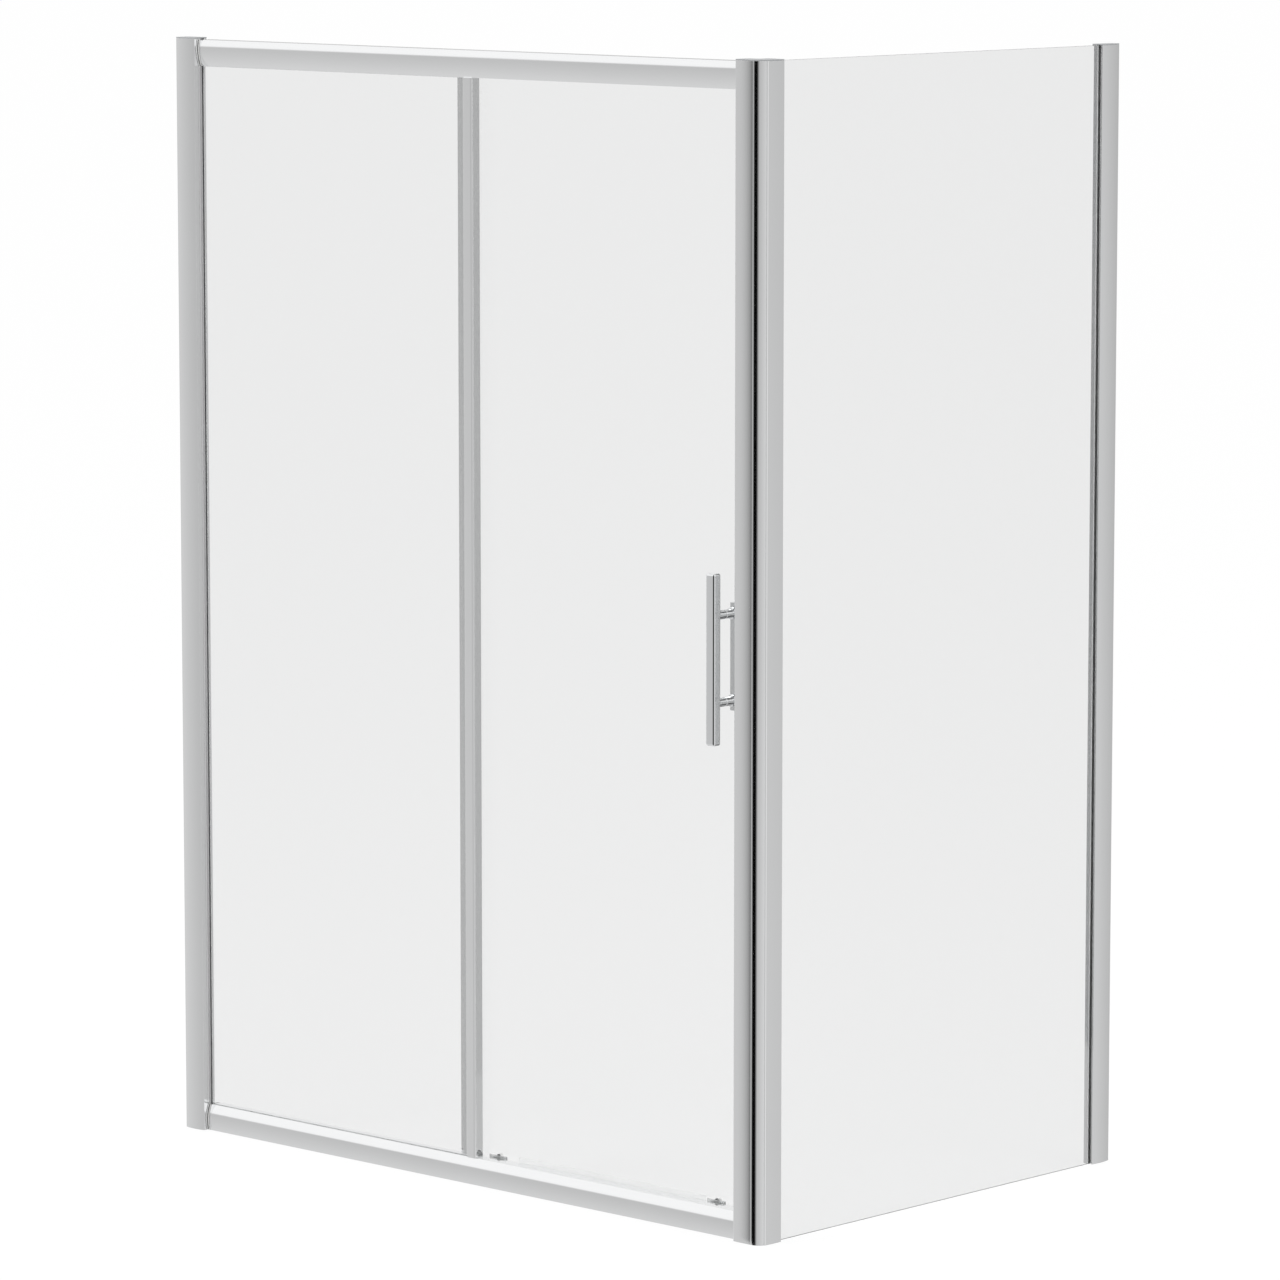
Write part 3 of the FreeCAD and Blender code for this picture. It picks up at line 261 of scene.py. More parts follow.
def at(spot, turn=upright):
    return Matrix.Translation(spot) @ turn @ toMetres


def vertsOf(made):
    return [item for item in made if isinstance(item, bmesh.types.BMVert)]


def roundSag(radius):
    # how far a quarter turn's arc stands off its chord
    return radius * (1 - math.cos(math.pi / 4))


def arcSag(radius, start, end):
    half = math.hypot(end[0] - start[0], end[1] - start[1]) / 2
    return radius - math.sqrt(radius ** 2 - half ** 2)


def arcTo(bm, start, item):
    # sag is how far the arc's middle stands to the left of the way
    end = Vector((item[0], item[1], 0))
    sag = item[2]
    chord = end - start.co
    half = chord.length / 2
    radius = (half ** 2 + sag ** 2) / (2 * abs(sag))
    left = Vector((-chord.y, chord.x, 0)).normalized()
    centre = (start.co + end) / 2 + left * (sag - math.copysign(radius, sag))
    angle = -math.copysign(2 * math.asin(min(1.0, half / radius)), sag)
    steps = max(fewestSteps, round(abs(angle) / arcStep))
    made = bmesh.ops.spin(bm, geom=[start], cent=centre, axis=(0, 0, 1), dvec=(0, 0, 0), angle=angle,
                          steps=steps, use_merge=False, use_duplicate=False)
    last = vertsOf(made["geom_last"])[0]
    last.co = end
    return last


def runOutline(bm, outline, closed=True):
    # (x, y) is reached straight, (x, y, sag) through an arc
    first = bm.verts.new((outline[0][0], outline[0][1], 0))
    last = first
    for item in outline[1:]:
        if len(item) == 3:
            last = arcTo(bm, last, item)
        else:
            last = bmesh.ops.extrude_vert_indiv(bm, verts=[last])["verts"][0]
            last.co = (item[0], item[1], 0)
    if closed:
        bm.edges.new((last, first))


def bevelled(bm, edges, size, segments=2):
    bmesh.ops.bevel(bm, geom=edges, offset=size, offset_type="OFFSET", segments=segments, profile=0.5,
                    affect="EDGES", clamp_overlap=True, material=-1)


def roundEdges(bm, size, sharp=0.6):
    edges = [edge for edge in bm.edges if edge.is_manifold and edge.calc_face_angle() > sharp]
    if size and edges:
        bevelled(bm, edges, size)


def drawn(outline, length, matrix, edge=0.25, holes=()):
    # an outline filled, drawn out to its length and rounded, in its place
    bm = bmesh.new()
    runOutline(bm, outline)
    for x, y, radius in holes:
        bmesh.ops.create_circle(bm, cap_ends=False, radius=radius, segments=holeSides,
                                matrix=Matrix.Translation((x, y, 0)))
    if holes:
        bmesh.ops.triangle_fill(bm, use_beauty=True, use_dissolve=True, edges=bm.edges[:])
    else:
        bmesh.ops.contextual_create(bm, geom=bm.edges[:])
    made = bmesh.ops.extrude_face_region(bm, geom=bm.faces[:])
    bmesh.ops.translate(bm, verts=vertsOf(made["geom"]), vec=(0, 0, length))
    bmesh.ops.remove_doubles(bm, verts=bm.verts[:], dist=weld)
    bmesh.ops.recalc_face_normals(bm, faces=bm.faces[:])
    roundEdges(bm, edge)
    bmesh.ops.transform(bm, matrix=matrix, verts=bm.verts[:])
    return bm


def turned(halfSection, matrix, edge=0.2, closed=False):
    # (radius, axial) points turned about the local Y axis
    bm = bmesh.new()
    runOutline(bm, halfSection, closed)
    bmesh.ops.spin(bm, geom=bm.verts[:] + bm.edges[:], cent=(0, 0, 0), axis=(0, 1, 0), dvec=(0, 0, 0),
                   angle=math.tau, steps=turnSteps, use_merge=True, use_duplicate=False)
    bmesh.ops.remove_doubles(bm, verts=bm.verts[:], dist=weld)
    bmesh.ops.recalc_face_normals(bm, faces=bm.faces[:])
    roundEdges(bm, edge)
    bmesh.ops.transform(bm, matrix=matrix, verts=bm.verts[:])
    return bm


def blockOf(size, matrix, edge, segments):
    bm = bmesh.new()
    bmesh.ops.create_cube(bm, size=1.0)
    bmesh.ops.scale(bm, vec=size, verts=bm.verts[:])
    bevelled(bm, bm.edges[:], edge, segments)
    bmesh.ops.transform(bm, matrix=matrix, verts=bm.verts[:])
    return bm


def joined(parts):
    # several solids of one kind become one mesh
    whole = bmesh.new()
    for part in parts:
        single = bpy.data.meshes.new("part")
        part.to_mesh(single)
        part.free()
        whole.from_mesh(single)
        bpy.data.meshes.remove(single)
    return whole


def makePiece(name, parts, node, body="frame", material=None):
    bm = joined(parts)
    for face in bm.faces:
        face.smooth = True
    for edge in bm.edges:
        if edge.is_manifold:
            edge.smooth = edge.calc_face_angle() < smoothBelow
    mesh = bpy.data.meshes.new(name)
    bm.to_mesh(mesh)
    bm.free()
    mesh.materials.append(material or finishes[slotOf[node]])
    piece = bpy.data.objects.new(name, mesh)
    scene.collection.objects.link(piece)
    even = piece.modifiers.new("evenNormals", "WEIGHTED_NORMAL")
    even.keep_sharp = True
    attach(piece, body)
    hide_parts(node)
    return piece


def rectangle(left, low, right, high):
    return [(left, low), (right, low), (right, high), (left, high)]


# wall posts, as high as the enclosure but for their caps

enclosure = {"width": 1390.0, "depth": 915.0, "height": 1950.0, "cap": 2.0, "capEdge": 0.5, "railDrop": 4.0,
             "pane": 6.0}
postTop = enclosure["height"] - enclosure["cap"]
railTop = enclosure["height"] - enclosure["railDrop"]
leftWall = place(-enclosure["width"], 0)
cornerSpot = place(0, 0)
capLevel = Vector((0, 0, postTop * mm))
grooveFront, grooveBack = 18.0, 26.0  # the fixed pane's groove
paneOut, paneIn = 6.0, 14.0  # the side pane's groove


def makePost(name, outline, node, edge, spot=cornerSpot):
    makePiece(name, [drawn(outline, postTop, at(spot), edge)], node)


def makeCap(name, outline, node, spot=cornerSpot):
    makePiece(name, [drawn(outline, enclosure["cap"], at(spot + capLevel), enclosure["capEdge"])], node)


# left: from the wall along the front, and from the outer face
leftPost = {"width": 46.8, "depth": 32.2, "bulge": 3.2, "wall": 1.6, "side": 12.0, "foot": 5.5, "edge": 0.5}
leftInner = leftPost["width"] - leftPost["wall"]
coverBack = leftPost["bulge"] + leftPost["wall"]
# run the other way round, so that the bulge's arc comes from the right
coverFront = [(leftPost["width"], leftPost["side"]), (leftPost["width"], leftPost["bulge"]),
              (0, leftPost["bulge"], leftPost["bulge"])]
makePost("leftPostCover",
         coverFront + [(0, leftPost["foot"]), (leftPost["wall"], leftPost["foot"]),
                       (leftPost["wall"], coverBack), (leftInner, coverBack, -leftPost["bulge"]),
                       (leftInner, leftPost["side"])],
         "left_cover", leftPost["edge"], leftWall)
leftJamb = {"start": 10.0, "front": 7.6, "step": 12.3, "groove": 34.0, "back": 29.6, "edge": 0.35}
makePost("leftPostJamb",
         [(leftJamb["start"], leftJamb["front"]), (leftInner, leftJamb["front"]),
          (leftInner, leftJamb["step"]), (leftPost["width"], leftJamb["step"]),
          (leftPost["width"], grooveFront), (leftJamb["groove"], grooveFront),
          (leftJamb["groove"], grooveBack), (leftPost["width"], grooveBack),
          (leftPost["width"], leftPost["depth"]), (leftInner, leftPost["depth"]),
          (leftInner, leftJamb["back"]), (leftJamb["start"], leftJamb["back"])],
         "left_jamb", leftJamb["edge"], leftWall)
makeCap("leftPostCap", coverFront + [(0, leftPost["side"])], "left_cap", leftWall)
jambCap = {"front": 12.1, "right": 47.1, "back": 32.8}
makeCap("leftJambCap", rectangle(0, jambCap["front"], jambCap["right"], jambCap["back"]), "left_jamb_cap",
        leftWall)


# right: the same kind of section, turned and mirrored

def onRight(points):
    return [(-item[1], enclosure["depth"] - item[0]) + tuple(-sag for sag in item[2:]) for item in points]


rightPost = {"width": 48.0, "depth": 24.0, "bulge": 2.76, "near": 4.2, "far": 1.6, "capBack": 24.4,
             "foot": 4.5, "wall": 1.8, "inner": 42.0, "innerFront": 3.1, "innerBulge": 2.0, "turn": 3.4,
             "lip": 44.0, "lipBack": 4.6, "edge": 0.5}
curve = [(0, rightPost["near"]), (rightPost["width"], rightPost["far"], -rightPost["bulge"])]
makePost("rightPostCover",
         onRight(curve + [(rightPost["width"], rightPost["turn"]), (rightPost["lip"], rightPost["turn"]),
                          (rightPost["lip"], rightPost["lipBack"]),
                          (rightPost["inner"], rightPost["lipBack"]),
                          (rightPost["inner"], rightPost["innerFront"]),
                          (rightPost["wall"], rightPost["foot"], rightPost["innerBulge"]),
                          (0, rightPost["foot"])]),
         "right_cover", rightPost["edge"])
rightJamb = {"start": 10.0, "front": 6.3, "shoulder": 38.3, "groove": 39.9, "back": 21.7, "edge": 0.35}
makePost("rightPostJamb",
         onRight([(rightJamb["start"], rightJamb["front"]), (rightJamb["shoulder"], rightJamb["front"]),
                  (rightJamb["shoulder"], rightPost["lipBack"]), (rightPost["lip"], rightPost["lipBack"]),
                  (rightPost["lip"], paneOut), (rightJamb["groove"], paneOut), (rightJamb["groove"], paneIn),
                  (rightPost["width"], paneIn), (rightPost["width"], rightPost["depth"]),
                  (rightJamb["shoulder"], rightPost["depth"]), (rightJamb["shoulder"], rightJamb["back"]),
                  (rightJamb["start"], rightJamb["back"])]),
         "right_jamb", rightJamb["edge"])
makeCap("rightPostCap",
        onRight(curve + [(rightPost["width"], rightPost["capBack"]), (0, rightPost["capBack"])]), "right_cap")
print("wall posts made")


# rails: section in (depth, height)

rail = {"high": 46.0, "radius": 70.0, "apex": 17.0, "front": 11.0, "back": 41.0, "wall": 2.0, "groove": 30.0,
        "lipDepth": 36.5, "lipHigh": 6.0, "lipHalf": 1.0, "toe": 7.0, "toeWall": 1.8, "right": -62.6,
        "edge": 0.45}
# rim and rimEdge size the two near-black rims of painted shade at each plug
plug = {"thick": 5.0, "rim": 1.0, "edge": 0.4, "rimEdge": 0.2}
railLeft = leftPost["width"] - enclosure["width"]
railLength = rail["right"] - railLeft - 2 * plug["thick"]
topLevel = railTop - rail["high"]
levels = {"bottom": 0, "top": topLevel}


def faceDepth(height):
    return rail["front"] + rail["radius"] - math.sqrt(rail["radius"] ** 2 - (height - rail["apex"]) ** 2)


def onLevel(points, level):
    # the top rail is the bottom rail's section turned over
    if level == 0:
        return points
    return [(item[0], rail["high"] - item[1]) + tuple(-sag for sag in item[2:]) for item in points]


faceLow = (faceDepth(0), 0)
faceHigh = (faceDepth(rail["high"]), rail["high"])
railFace = [faceLow, faceHigh + (arcSag(rail["radius"], faceLow, faceHigh),), (grooveFront, rail["high"]),
            (grooveFront, rail["groove"]), (grooveBack, rail["groove"]), (grooveBack, rail["high"])]
under = rail["high"] - rail["wall"]
lipFront, lipBack = rail["lipDepth"] - rail["lipHalf"], rail["lipDepth"] + rail["lipHalf"]
lipEnd = under - rail["lipHigh"] + rail["lipHalf"]
web = grooveBack + rail["wall"]
toeInner = rail["back"] - rail["toeWall"]
railBack = [(rail["back"], rail["high"]), (rail["back"], under), (lipBack, under), (lipBack, lipEnd),
            (lipFront, lipEnd, -rail["lipHalf"]), (lipFront, under), (web, under), (web, rail["wall"]),
            (toeInner, rail["wall"]), (toeInner, rail["toe"]), (rail["back"], rail["toe"]), (rail["back"], 0)]
for name, level in levels.items():
    spot = place(railLeft + plug["thick"], 0, level)
    makePiece(name + "Rail",
              [drawn(onLevel(railFace + railBack, level), railLength, at(spot, alongFront), rail["edge"])],
              name + "_rail", material=polishedRail)

# a white strip closes each rail's end, between two thin near-black rims that are painted shade for the
# shadowed joints
plugOutline = railFace + [(rail["back"], rail["high"]), (rail["back"], 0)]
plugs, paintedShadeRims = [], []
for along in (railLeft, rail["right"] - plug["thick"]):
    for level in levels.values():
        points = onLevel(plugOutline, level)
        plugs.append(drawn(points, plug["thick"] - 2 * plug["rim"],
                           at(place(along + plug["rim"], 0, level), alongFront), plug["edge"]))
        for start in (along, along + plug["thick"] - plug["rim"]):
            paintedShadeRims.append(drawn(points, plug["rim"], at(place(start, 0, level), alongFront), plug["rimEdge"]))
makePiece("railEndPlugs", plugs, "rail_end_plugs")
makePiece("railPlugRims", paintedShadeRims, "rail_end_plugs", material=plugRim)
print("rails made")


# corner: front cover profile, round post, side cover profile, their cap and the magnet

corner = {"start": -22.6, "radius": 20.0, "coverRadius": 380.0, "seam": 11.2, "apex": -36.0, "edgeRound": 3.5,
          "blockLeft": -40.0, "blockBack": 56.0, "boxBack": 35.0, "gap": 0.2, "inner": -4.2, "edge": 0.4,
          "postEdge": 0.3}


def coverDepth(along):
    return (along - corner["apex"]) ** 2 / (2 * corner["coverRadius"])


edgeSpot = rail["right"] + corner["edgeRound"]
frontEdge = (edgeSpot, coverDepth(edgeSpot))
frontEnd = (corner["start"], coverDepth(corner["start"]))
frontFace = [(rail["right"], frontEdge[1] + corner["edgeRound"]),
             frontEdge + (-roundSag(corner["edgeRound"]),),
             frontEnd + (-arcSag(corner["coverRadius"], frontEdge, frontEnd),)]
block = [(corner["start"], corner["blockBack"]), (corner["blockLeft"], corner["blockBack"]),
         (corner["blockLeft"], corner["boxBack"]), (rail["right"], corner["boxBack"])]
makePost("cornerFrontProfile", frontFace + block, "corner_front_profile", corner["edge"])

arcDepth = corner["seam"] - corner["gap"]
arcStart = (-corner["radius"], 0)
arcReach = math.sqrt(corner["radius"] ** 2 - (corner["radius"] - arcDepth) ** 2)
arcEnd = (-corner["radius"] + arcReach, arcDepth)
roundArc = arcEnd + (-arcSag(corner["radius"], arcStart, arcEnd),)
makePost("cornerRoundPost",
         [(corner["start"], 0), arcStart, roundArc, (corner["inner"], arcDepth),
          (corner["inner"], -corner["start"]), (corner["start"], -corner["start"])],
         "corner_post", corner["postEdge"])

sideCover = {"inner": -4.0, "front": -3.2, "round": 3.0, "sag": 0.8, "width": 40.5, "groove": 37.0,
             "back": 22.8}
sideEnd = corner["seam"] + sideCover["width"]
sideFirst = (-coverDepth(-corner["seam"] - sideCover["round"]), corner["seam"] + sideCover["round"])
sideLast = (-coverDepth(-sideEnd), sideEnd)
sideArc = sideLast + (-arcSag(corner["coverRadius"], sideFirst, sideLast),)
sideBack = corner["start"] + corner["gap"]
makePost("cornerSideProfile",
         [(sideCover["inner"], corner["seam"]), (sideCover["front"], corner["seam"]),
          sideFirst + (-sideCover["sag"],), sideArc, (-paneOut, sideEnd), (-paneOut, sideCover["groove"]),
          (-paneIn, sideCover["groove"]), (-paneIn, sideEnd), (sideBack, sideEnd),
          (sideBack, sideCover["back"]), (sideCover["inner"], sideCover["back"])],
         "corner_side_profile", corner["edge"])
makeCap("cornerCap", frontFace + [arcStart, roundArc, sideFirst, sideArc, (corner["start"], sideEnd)] + block,
        "corner_cap")

magnet = {"front": 42.0, "back": 50.4, "neck": -43.0, "face": -46.6, "bevel": 1.2, "clear": 2.0, "edge": 0.5}
makePiece("magnetStrip",
          [drawn([(corner["blockLeft"], magnet["front"]), (corner["blockLeft"], magnet["back"]),
                  (magnet["neck"], magnet["back"]), (magnet["face"], magnet["back"] - magnet["bevel"]),
                  (magnet["face"], magnet["front"] + magnet["bevel"]), (magnet["neck"], magnet["front"])],
                 postTop - 2 * magnet["clear"], at(place(0, 0, magnet["clear"])), magnet["edge"])],
          "magnet_strip")
print("corner made")


# panes with arrissed edges

arris = 0.6
fixedPane = {"start": 35.0, "right": -679.3, "low": 31.0, "depth": 19.0}
fixedLeft = fixedPane["start"] - enclosure["width"]
makePiece("fixedPane",
          [drawn(rectangle(0, 0, fixedPane["right"] - fixedLeft, railTop - 2 * fixedPane["low"]),
                 enclosure["pane"],
                 at(place(fixedLeft, fixedPane["depth"] + enclosure["pane"], fixedPane["low"]), facingFront),
                 arris)], "fixed_glass")
sidePane = {"start": 37.8, "margin": 40.5, "low": 0.6, "high": postTop - 0.2, "inset": 7.0}
sideLength = enclosure["depth"] - sidePane["margin"] - sidePane["start"]
sideHigh = sidePane["high"] - sidePane["low"]
makePiece("sidePane",
          [drawn(rectangle(0, 0, sideLength, sideHigh), enclosure["pane"],
                 at(place(-sidePane["inset"] - enclosure["pane"], sidePane["start"], sidePane["low"]),
                    alongFront), arris)], "side_glass")

# the door's glass has holes for the handle's bolts and the rollers
rollers = {"left": -650.6, "right": -142.1}
bottomAxle, topAxle = 28.7, 1917.3
fixingHeight = bottomAxle - 3.5
handle = {"along": -104.6, "height": 967.5, "length": 285.0, "width": 20.0, "deep": 17.0, "reach": 11.0,
          "pitch": 145.0, "round": 4.0, "segments": 6}
handleHeights = [handle["height"] - handle["pitch"] / 2, handle["height"] + handle["pitch"] / 2]
doorPane = {"left": -729.2, "right": -58.0, "low": 14.0, "high": 1932.0, "depth": 43.2, "boltHole": 5.0,
            "releaseHole": 9.0, "axleHole": 6.5}
glassBack = doorPane["depth"] + enclosure["pane"]
glassHoles = [(handle["along"], z, doorPane["boltHole"]) for z in handleHeights]
for along in rollers.values():
    glassHoles += [(along, fixingHeight, doorPane["releaseHole"]), (along, topAxle, doorPane["axleHole"])]
makePiece("doorPane",
          [drawn(rectangle(doorPane["left"], doorPane["low"], doorPane["right"], doorPane["high"]),
                 enclosure["pane"], at(place(0, glassBack), facingFront), arris, glassHoles)],
          "door_glass", "door")


# gaskets and seals, and the profiles that meet in the middle: a section runs from its piece's left
# edge, or from the wall, and from the front's outer face

paneSpan = railTop - 2 * rail["high"]
doorSpan = doorPane["high"] - doorPane["low"]


def makeUpright(name, node, piece, span, low, left, body="frame", material=None):
    spot = place(left, 0, low)
    makePiece(name, [drawn(piece["section"], span, at(spot), piece["edge"])], node, body, material)


frontBead = {"edge": 0.2, "section": [(35, 18), (46.8, 18), (46.8, 16.4), (48.6, 17, 0.3), (48.6, 19),
                                      (35, 19)]}
backBead = {"edge": 0.2, "section": [(35, 25), (48.6, 25), (48.6, 27), (46.8, 27.6, 0.3), (46.8, 26),
                                     (35, 26)]}
for name, bead, material in (("Front", frontBead, None), ("Back", backBead, paleBead)):
    makeUpright("fixedPane%sGasket" % name, "fixed_glass_gaskets", bead, paneSpan, rail["high"],
                -enclosure["width"], material=material)

strip = {"low": 32.0, "high": 46.6, "thick": 1.0, "start": 7.0, "length": 639.2, "edge": 0.25}
strips = []
for level in levels.values():
    for near in (grooveFront, grooveBack - strip["thick"]):
        points = onLevel(rectangle(near, strip["low"], near + strip["thick"], strip["high"]), level)
        strips.append(drawn(points, strip["length"],
                            at(place(railLeft + strip["start"], 0, level), alongFront), strip["edge"]))
makePiece("railGlassStrips", strips, "rail_glass_strips", material=paleBead)

sideBeads = {
    "edge": 0.2,
    "Outer": [onRight([(40.5, 6), (44, 6), (46, 5.6), (46, 7), (40.5, 7)]),
              [(-7, 37.8), (-6, 37.8), (-6, 51.7), (-5.2, 51.7), (-7, 53.3)]],
    "Inner": [onRight([(40.5, 13), (49.4, 13), (49.4, 14.4), (48, 14.9), (48, 14), (40.5, 14)]),
              [(-14, 37.8), (-13, 37.8), (-13, 53.3), (-14.8, 51.7), (-14, 51.7)]],
}
for name, material in (("Outer", None), ("Inner", paleBead)):
    makePiece("sidePane%sGaskets" % name,
              [drawn(section, sideHigh, at(place(0, 0, sidePane["low"])), sideBeads["edge"])
               for section in sideBeads[name]], "side_glass_gaskets", material=material)

middle = {"left": -696.0, "right": -674.0, "edge": 0.3,
          "section": [(0, 18), (0, 17.5), (2.5, 15, -0.73), (18, 15), (22, 19, -1.17), (22, 34), (6, 34),
                      (6, 32.4), (20.2, 32.4), (20.2, 28.2), (3, 28.2), (3, 26), (17.5, 26), (17.5, 18)]}
makeUpright("middleProfile", "middle_profile", middle, paneSpan, rail["high"], middle["left"])
wiper = {"start": 7.0, "edge": 0.15, "section": [(0, 34), (8, 34), (8, 35.2), (5.6, 35.6), (4.2, 42.7, 0.5),
                                                 (3.4, 42.7), (3.8, 35.6, -0.5), (0, 35.2)]}
makeUpright("wiperFin", "wiper_seal", wiper, paneSpan, rail["high"], middle["left"] + wiper["start"])

grooveCover = {"gap": 0.2, "edge": 0.3,
               "section": [(18, 36), (19.2, 36), (19.2, 44.6), (24.8, 44.6), (24.8, 36), (26, 36), (26, 46),
                           (18, 46)]}
coverLeft = middle["right"] + grooveCover["gap"]
coverSpan = rail["right"] - plug["thick"] - grooveCover["gap"] - coverLeft
makePiece("railGrooveCovers",
          [drawn(onLevel(grooveCover["section"], level), coverSpan,
                 at(place(coverLeft, 0, level), alongFront), grooveCover["edge"])
           for level in levels.values()], "rail_groove_covers", material=polishedRail)

doorEdge = {"left": -731.0, "edge": 0.35, "section": [(0, 41.7), (19, 41.7), (19, 43.2), (1.8, 43.2),
                                                      (1.8, 49.2), (19, 49.2), (19, 51), (0, 51)]}
makeUpright("doorEdgeProfile", "door_edge_profile", doorEdge, doorSpan, doorPane["low"], doorEdge["left"],
            "door")
hook = {"clear": 2.0, "edge": 0.3, "section": [(3, 40.2), (17.2, 40.2), (17.2, 29.6), (50, 29.6), (50, 31),
                                               (18.8, 31), (18.8, 41.7), (3, 41.7)]}
makeUpright("doorHookProfile", "door_hook_profile", hook, paneSpan - 2 * hook["clear"],
            rail["high"] + hook["clear"], doorEdge["left"], "door")
seal = {"left": -66.0, "edge": 0.3,
        "section": [(0, 41.8), (15.8, 41.8), (18.8, 43.2, -0.4), (18.8, 49.2), (15.8, 50.6, -0.4), (0, 50.6),
                    (0, 49.2), (8, 49.2), (8, 43.2), (0, 43.2)]}
makeUpright("closingSeal", "closing_seal", seal, doorSpan, doorPane["low"], seal["left"], "door")
drip = {"left": -600.0, "length": 435.0, "edge": 0.3,
        "section": [(49.2, 12), (58.2, 8.6, 0.5), (58.2, 9.8), (50.6, 13.2, -0.5), (50.6, 54), (49.2, 54)]}
makePiece("dripStrip", [drawn(drip["section"], drip["length"], at(place(drip["left"], 0), alongFront),
                              drip["edge"])], "drip_deflector", "door")
print("panes and seals made")


# handle: bar, posts, flanges, washers and plate, held by two bolts through the glass

makePiece("handleBar",
          [blockOf((handle["width"], handle["deep"], handle["length"]),
                   at(place(handle["along"], handle["deep"] / 2 - handle["reach"], handle["height"])),
                   handle["round"], handle["segments"])], "handle_bar", "door")
handleSpots = [place(handle["along"], 0, z) for z in handleHeights]
postSection = [(0, 6), (7.7, 6), (7.7, 22), (7.1, 22.6), (7.1, 24), (7.7, 24.6), (7.7, 39.4), (0, 39.4)]
makePiece("handlePosts", [turned(postSection, at(spot)) for spot in handleSpots], "handle_posts", "door")
flange = {"edge": 0.15, "section": [(3, 39.4), (9.2, 39.4), (10, 40.2), (10, 42.6), (3, 42.6)]}
makePiece("handleFlanges", [turned(flange["section"], at(spot), flange["edge"], closed=True)
                            for spot in handleSpots], "handle_flanges", "door")
washer = {"edge": 0.1, "sections": (rectangle(3, 42.6, 9.6, 43.2), rectangle(3, 49.2, 7.4, 49.8))}
makePiece("handleWashers", [turned(section, at(spot), washer["edge"], closed=True)
                            for spot in handleSpots for section in washer["sections"]],
          "handle_washers", "door")
plate = {"half": 8.0, "halfHigh": 90.0, "back": 53.8, "thick": 4.0, "bore": 3.0, "edge": 0.8}
plateOutline = rectangle(handle["along"] - plate["half"], handle["height"] - plate["halfHigh"],
                         handle["along"] + plate["half"], handle["height"] + plate["halfHigh"])
makePiece("handlePlate",
          [drawn(plateOutline, plate["thick"], at(place(0, plate["back"]), facingFront), plate["edge"],
                 [(handle["along"], z, plate["bore"]) for z in handleHeights])], "handle_plate", "door")

screwHead = {"sides": 36, "crown": 0.72, "sunk": 0.8}


def socketHead(screw, spot):
    # a domed head with a six-sided socket let into its end
    high = screw["headHigh"]
    end = screw["back"] + high
    bm = bmesh.new()
    bmesh.ops.create_cone(bm, cap_ends=True, cap_tris=False, segments=screwHead["sides"],
                          radius1=screw["head"], radius2=screw["head"] * screwHead["crown"], depth=high,
                          matrix=Matrix.Translation((0, 0, end - high / 2)))
    top = max(bm.faces, key=lambda face: face.calc_center_median().z)
    bmesh.ops.delete(bm, geom=[top], context="FACES_ONLY")
    rim = [edge for edge in bm.edges if edge.is_boundary]
    hexagon = bmesh.ops.create_circle(bm, cap_ends=True, radius=screw["socket"], segments=6,
                                      matrix=Matrix.Translation((0, 0, end)))["verts"]
    pushed = bmesh.ops.extrude_discrete_faces(bm, faces=[hexagon[0].link_faces[0]])["faces"]
    bmesh.ops.translate(bm, verts=pushed[0].verts[:], vec=(0, 0, -high * screwHead["sunk"]))
    inner = [edge for edge in bm.edges if edge.is_boundary and edge not in rim]
    bmesh.ops.bridge_loops(bm, edges=rim + inner)
    bmesh.ops.recalc_face_normals(bm, faces=bm.faces[:])
    standing = Matrix.Rotation(math.radians(-90), 4, "X")  # the head's end faces +Y
    bmesh.ops.transform(bm, matrix=at(spot) @ standing, verts=bm.verts[:])
    return bm


def screwOf(screw, spot):
    shaft = [(0, screw["front"]), (screw["radius"], screw["front"]), (screw["radius"], screw["back"]),
             (0, screw["back"])]
    return [turned(shaft, at(spot), 0), socketHead(screw, spot)]


bolt = {"radius": 2.9, "front": 39.4, "back": 53.9, "head": 5.2, "headHigh": 2.5, "socket": 1.6}
makePiece("handleBolts", [part for spot in handleSpots for part in screwOf(bolt, spot)], "handle_bolts",
          "door")
print("handle made")


# rollers: wheels, axles and caps; a section's axial points run from the middle of the wheel

lip = rail["lipDepth"]
wheel = {"edge": 0.3, "section": [(6.5, -4), (11.5, -4), (11.5, -1.9), (9, -1.3), (9, 1.3), (11.5, 1.9),
                                  (11.5, 4), (6.5, 4)]}
bearing = {"edge": 0.2, "section": rectangle(3.05, -3.8, 6.5, 3.8)}
for side, along in rollers.items():
    for level, height in (("top", topAxle), ("bottom", bottomAxle)):
        spot = place(along, lip, height)
        for name, ring in (("Wheel", wheel), ("Bearing", bearing)):
            makePiece(level + name + side.title(),
                      [turned(ring["section"], at(spot), ring["edge"], closed=True)],
                      "%s_%s_%s" % (level, name.lower(), side), "%s_roller_%s" % (level, side))
headEnd = [(0, -5.3), (4.6, -5.3), (4.6, -4.3), (3, -4.3)]
stud = headEnd + [(3, 4.4), (8.5, 4.4), (8.5, 6.7), (6.4, 6.7), (6.4, 12.7), (4, 12.7), (4, 16.7), (0, 16.7)]
pin = headEnd + [(3, 4.3), (4.4, 4.3), (4.4, 4.9), (3, 4.9), (3, 15), (2.4, 15), (2.4, 22.9), (0, 22.9)]
cap = {"edge": 0.35, "section": [(4, 12.7), (12, 12.7), (12, 15.7), (3, 18.7, 0.45), (0, 18.7)]}
topSpots = [place(along, lip, topAxle) for along in rollers.values()]
makePiece("topAxles", [turned(stud, at(spot)) for spot in topSpots], "top_axles", "door")
makePiece("topAxleCaps", [turned(cap["section"], at(spot), cap["edge"]) for spot in topSpots],
          "top_axle_caps", "door")


# quick release at the door's foot: a housing clamped to the glass, with a sprung button

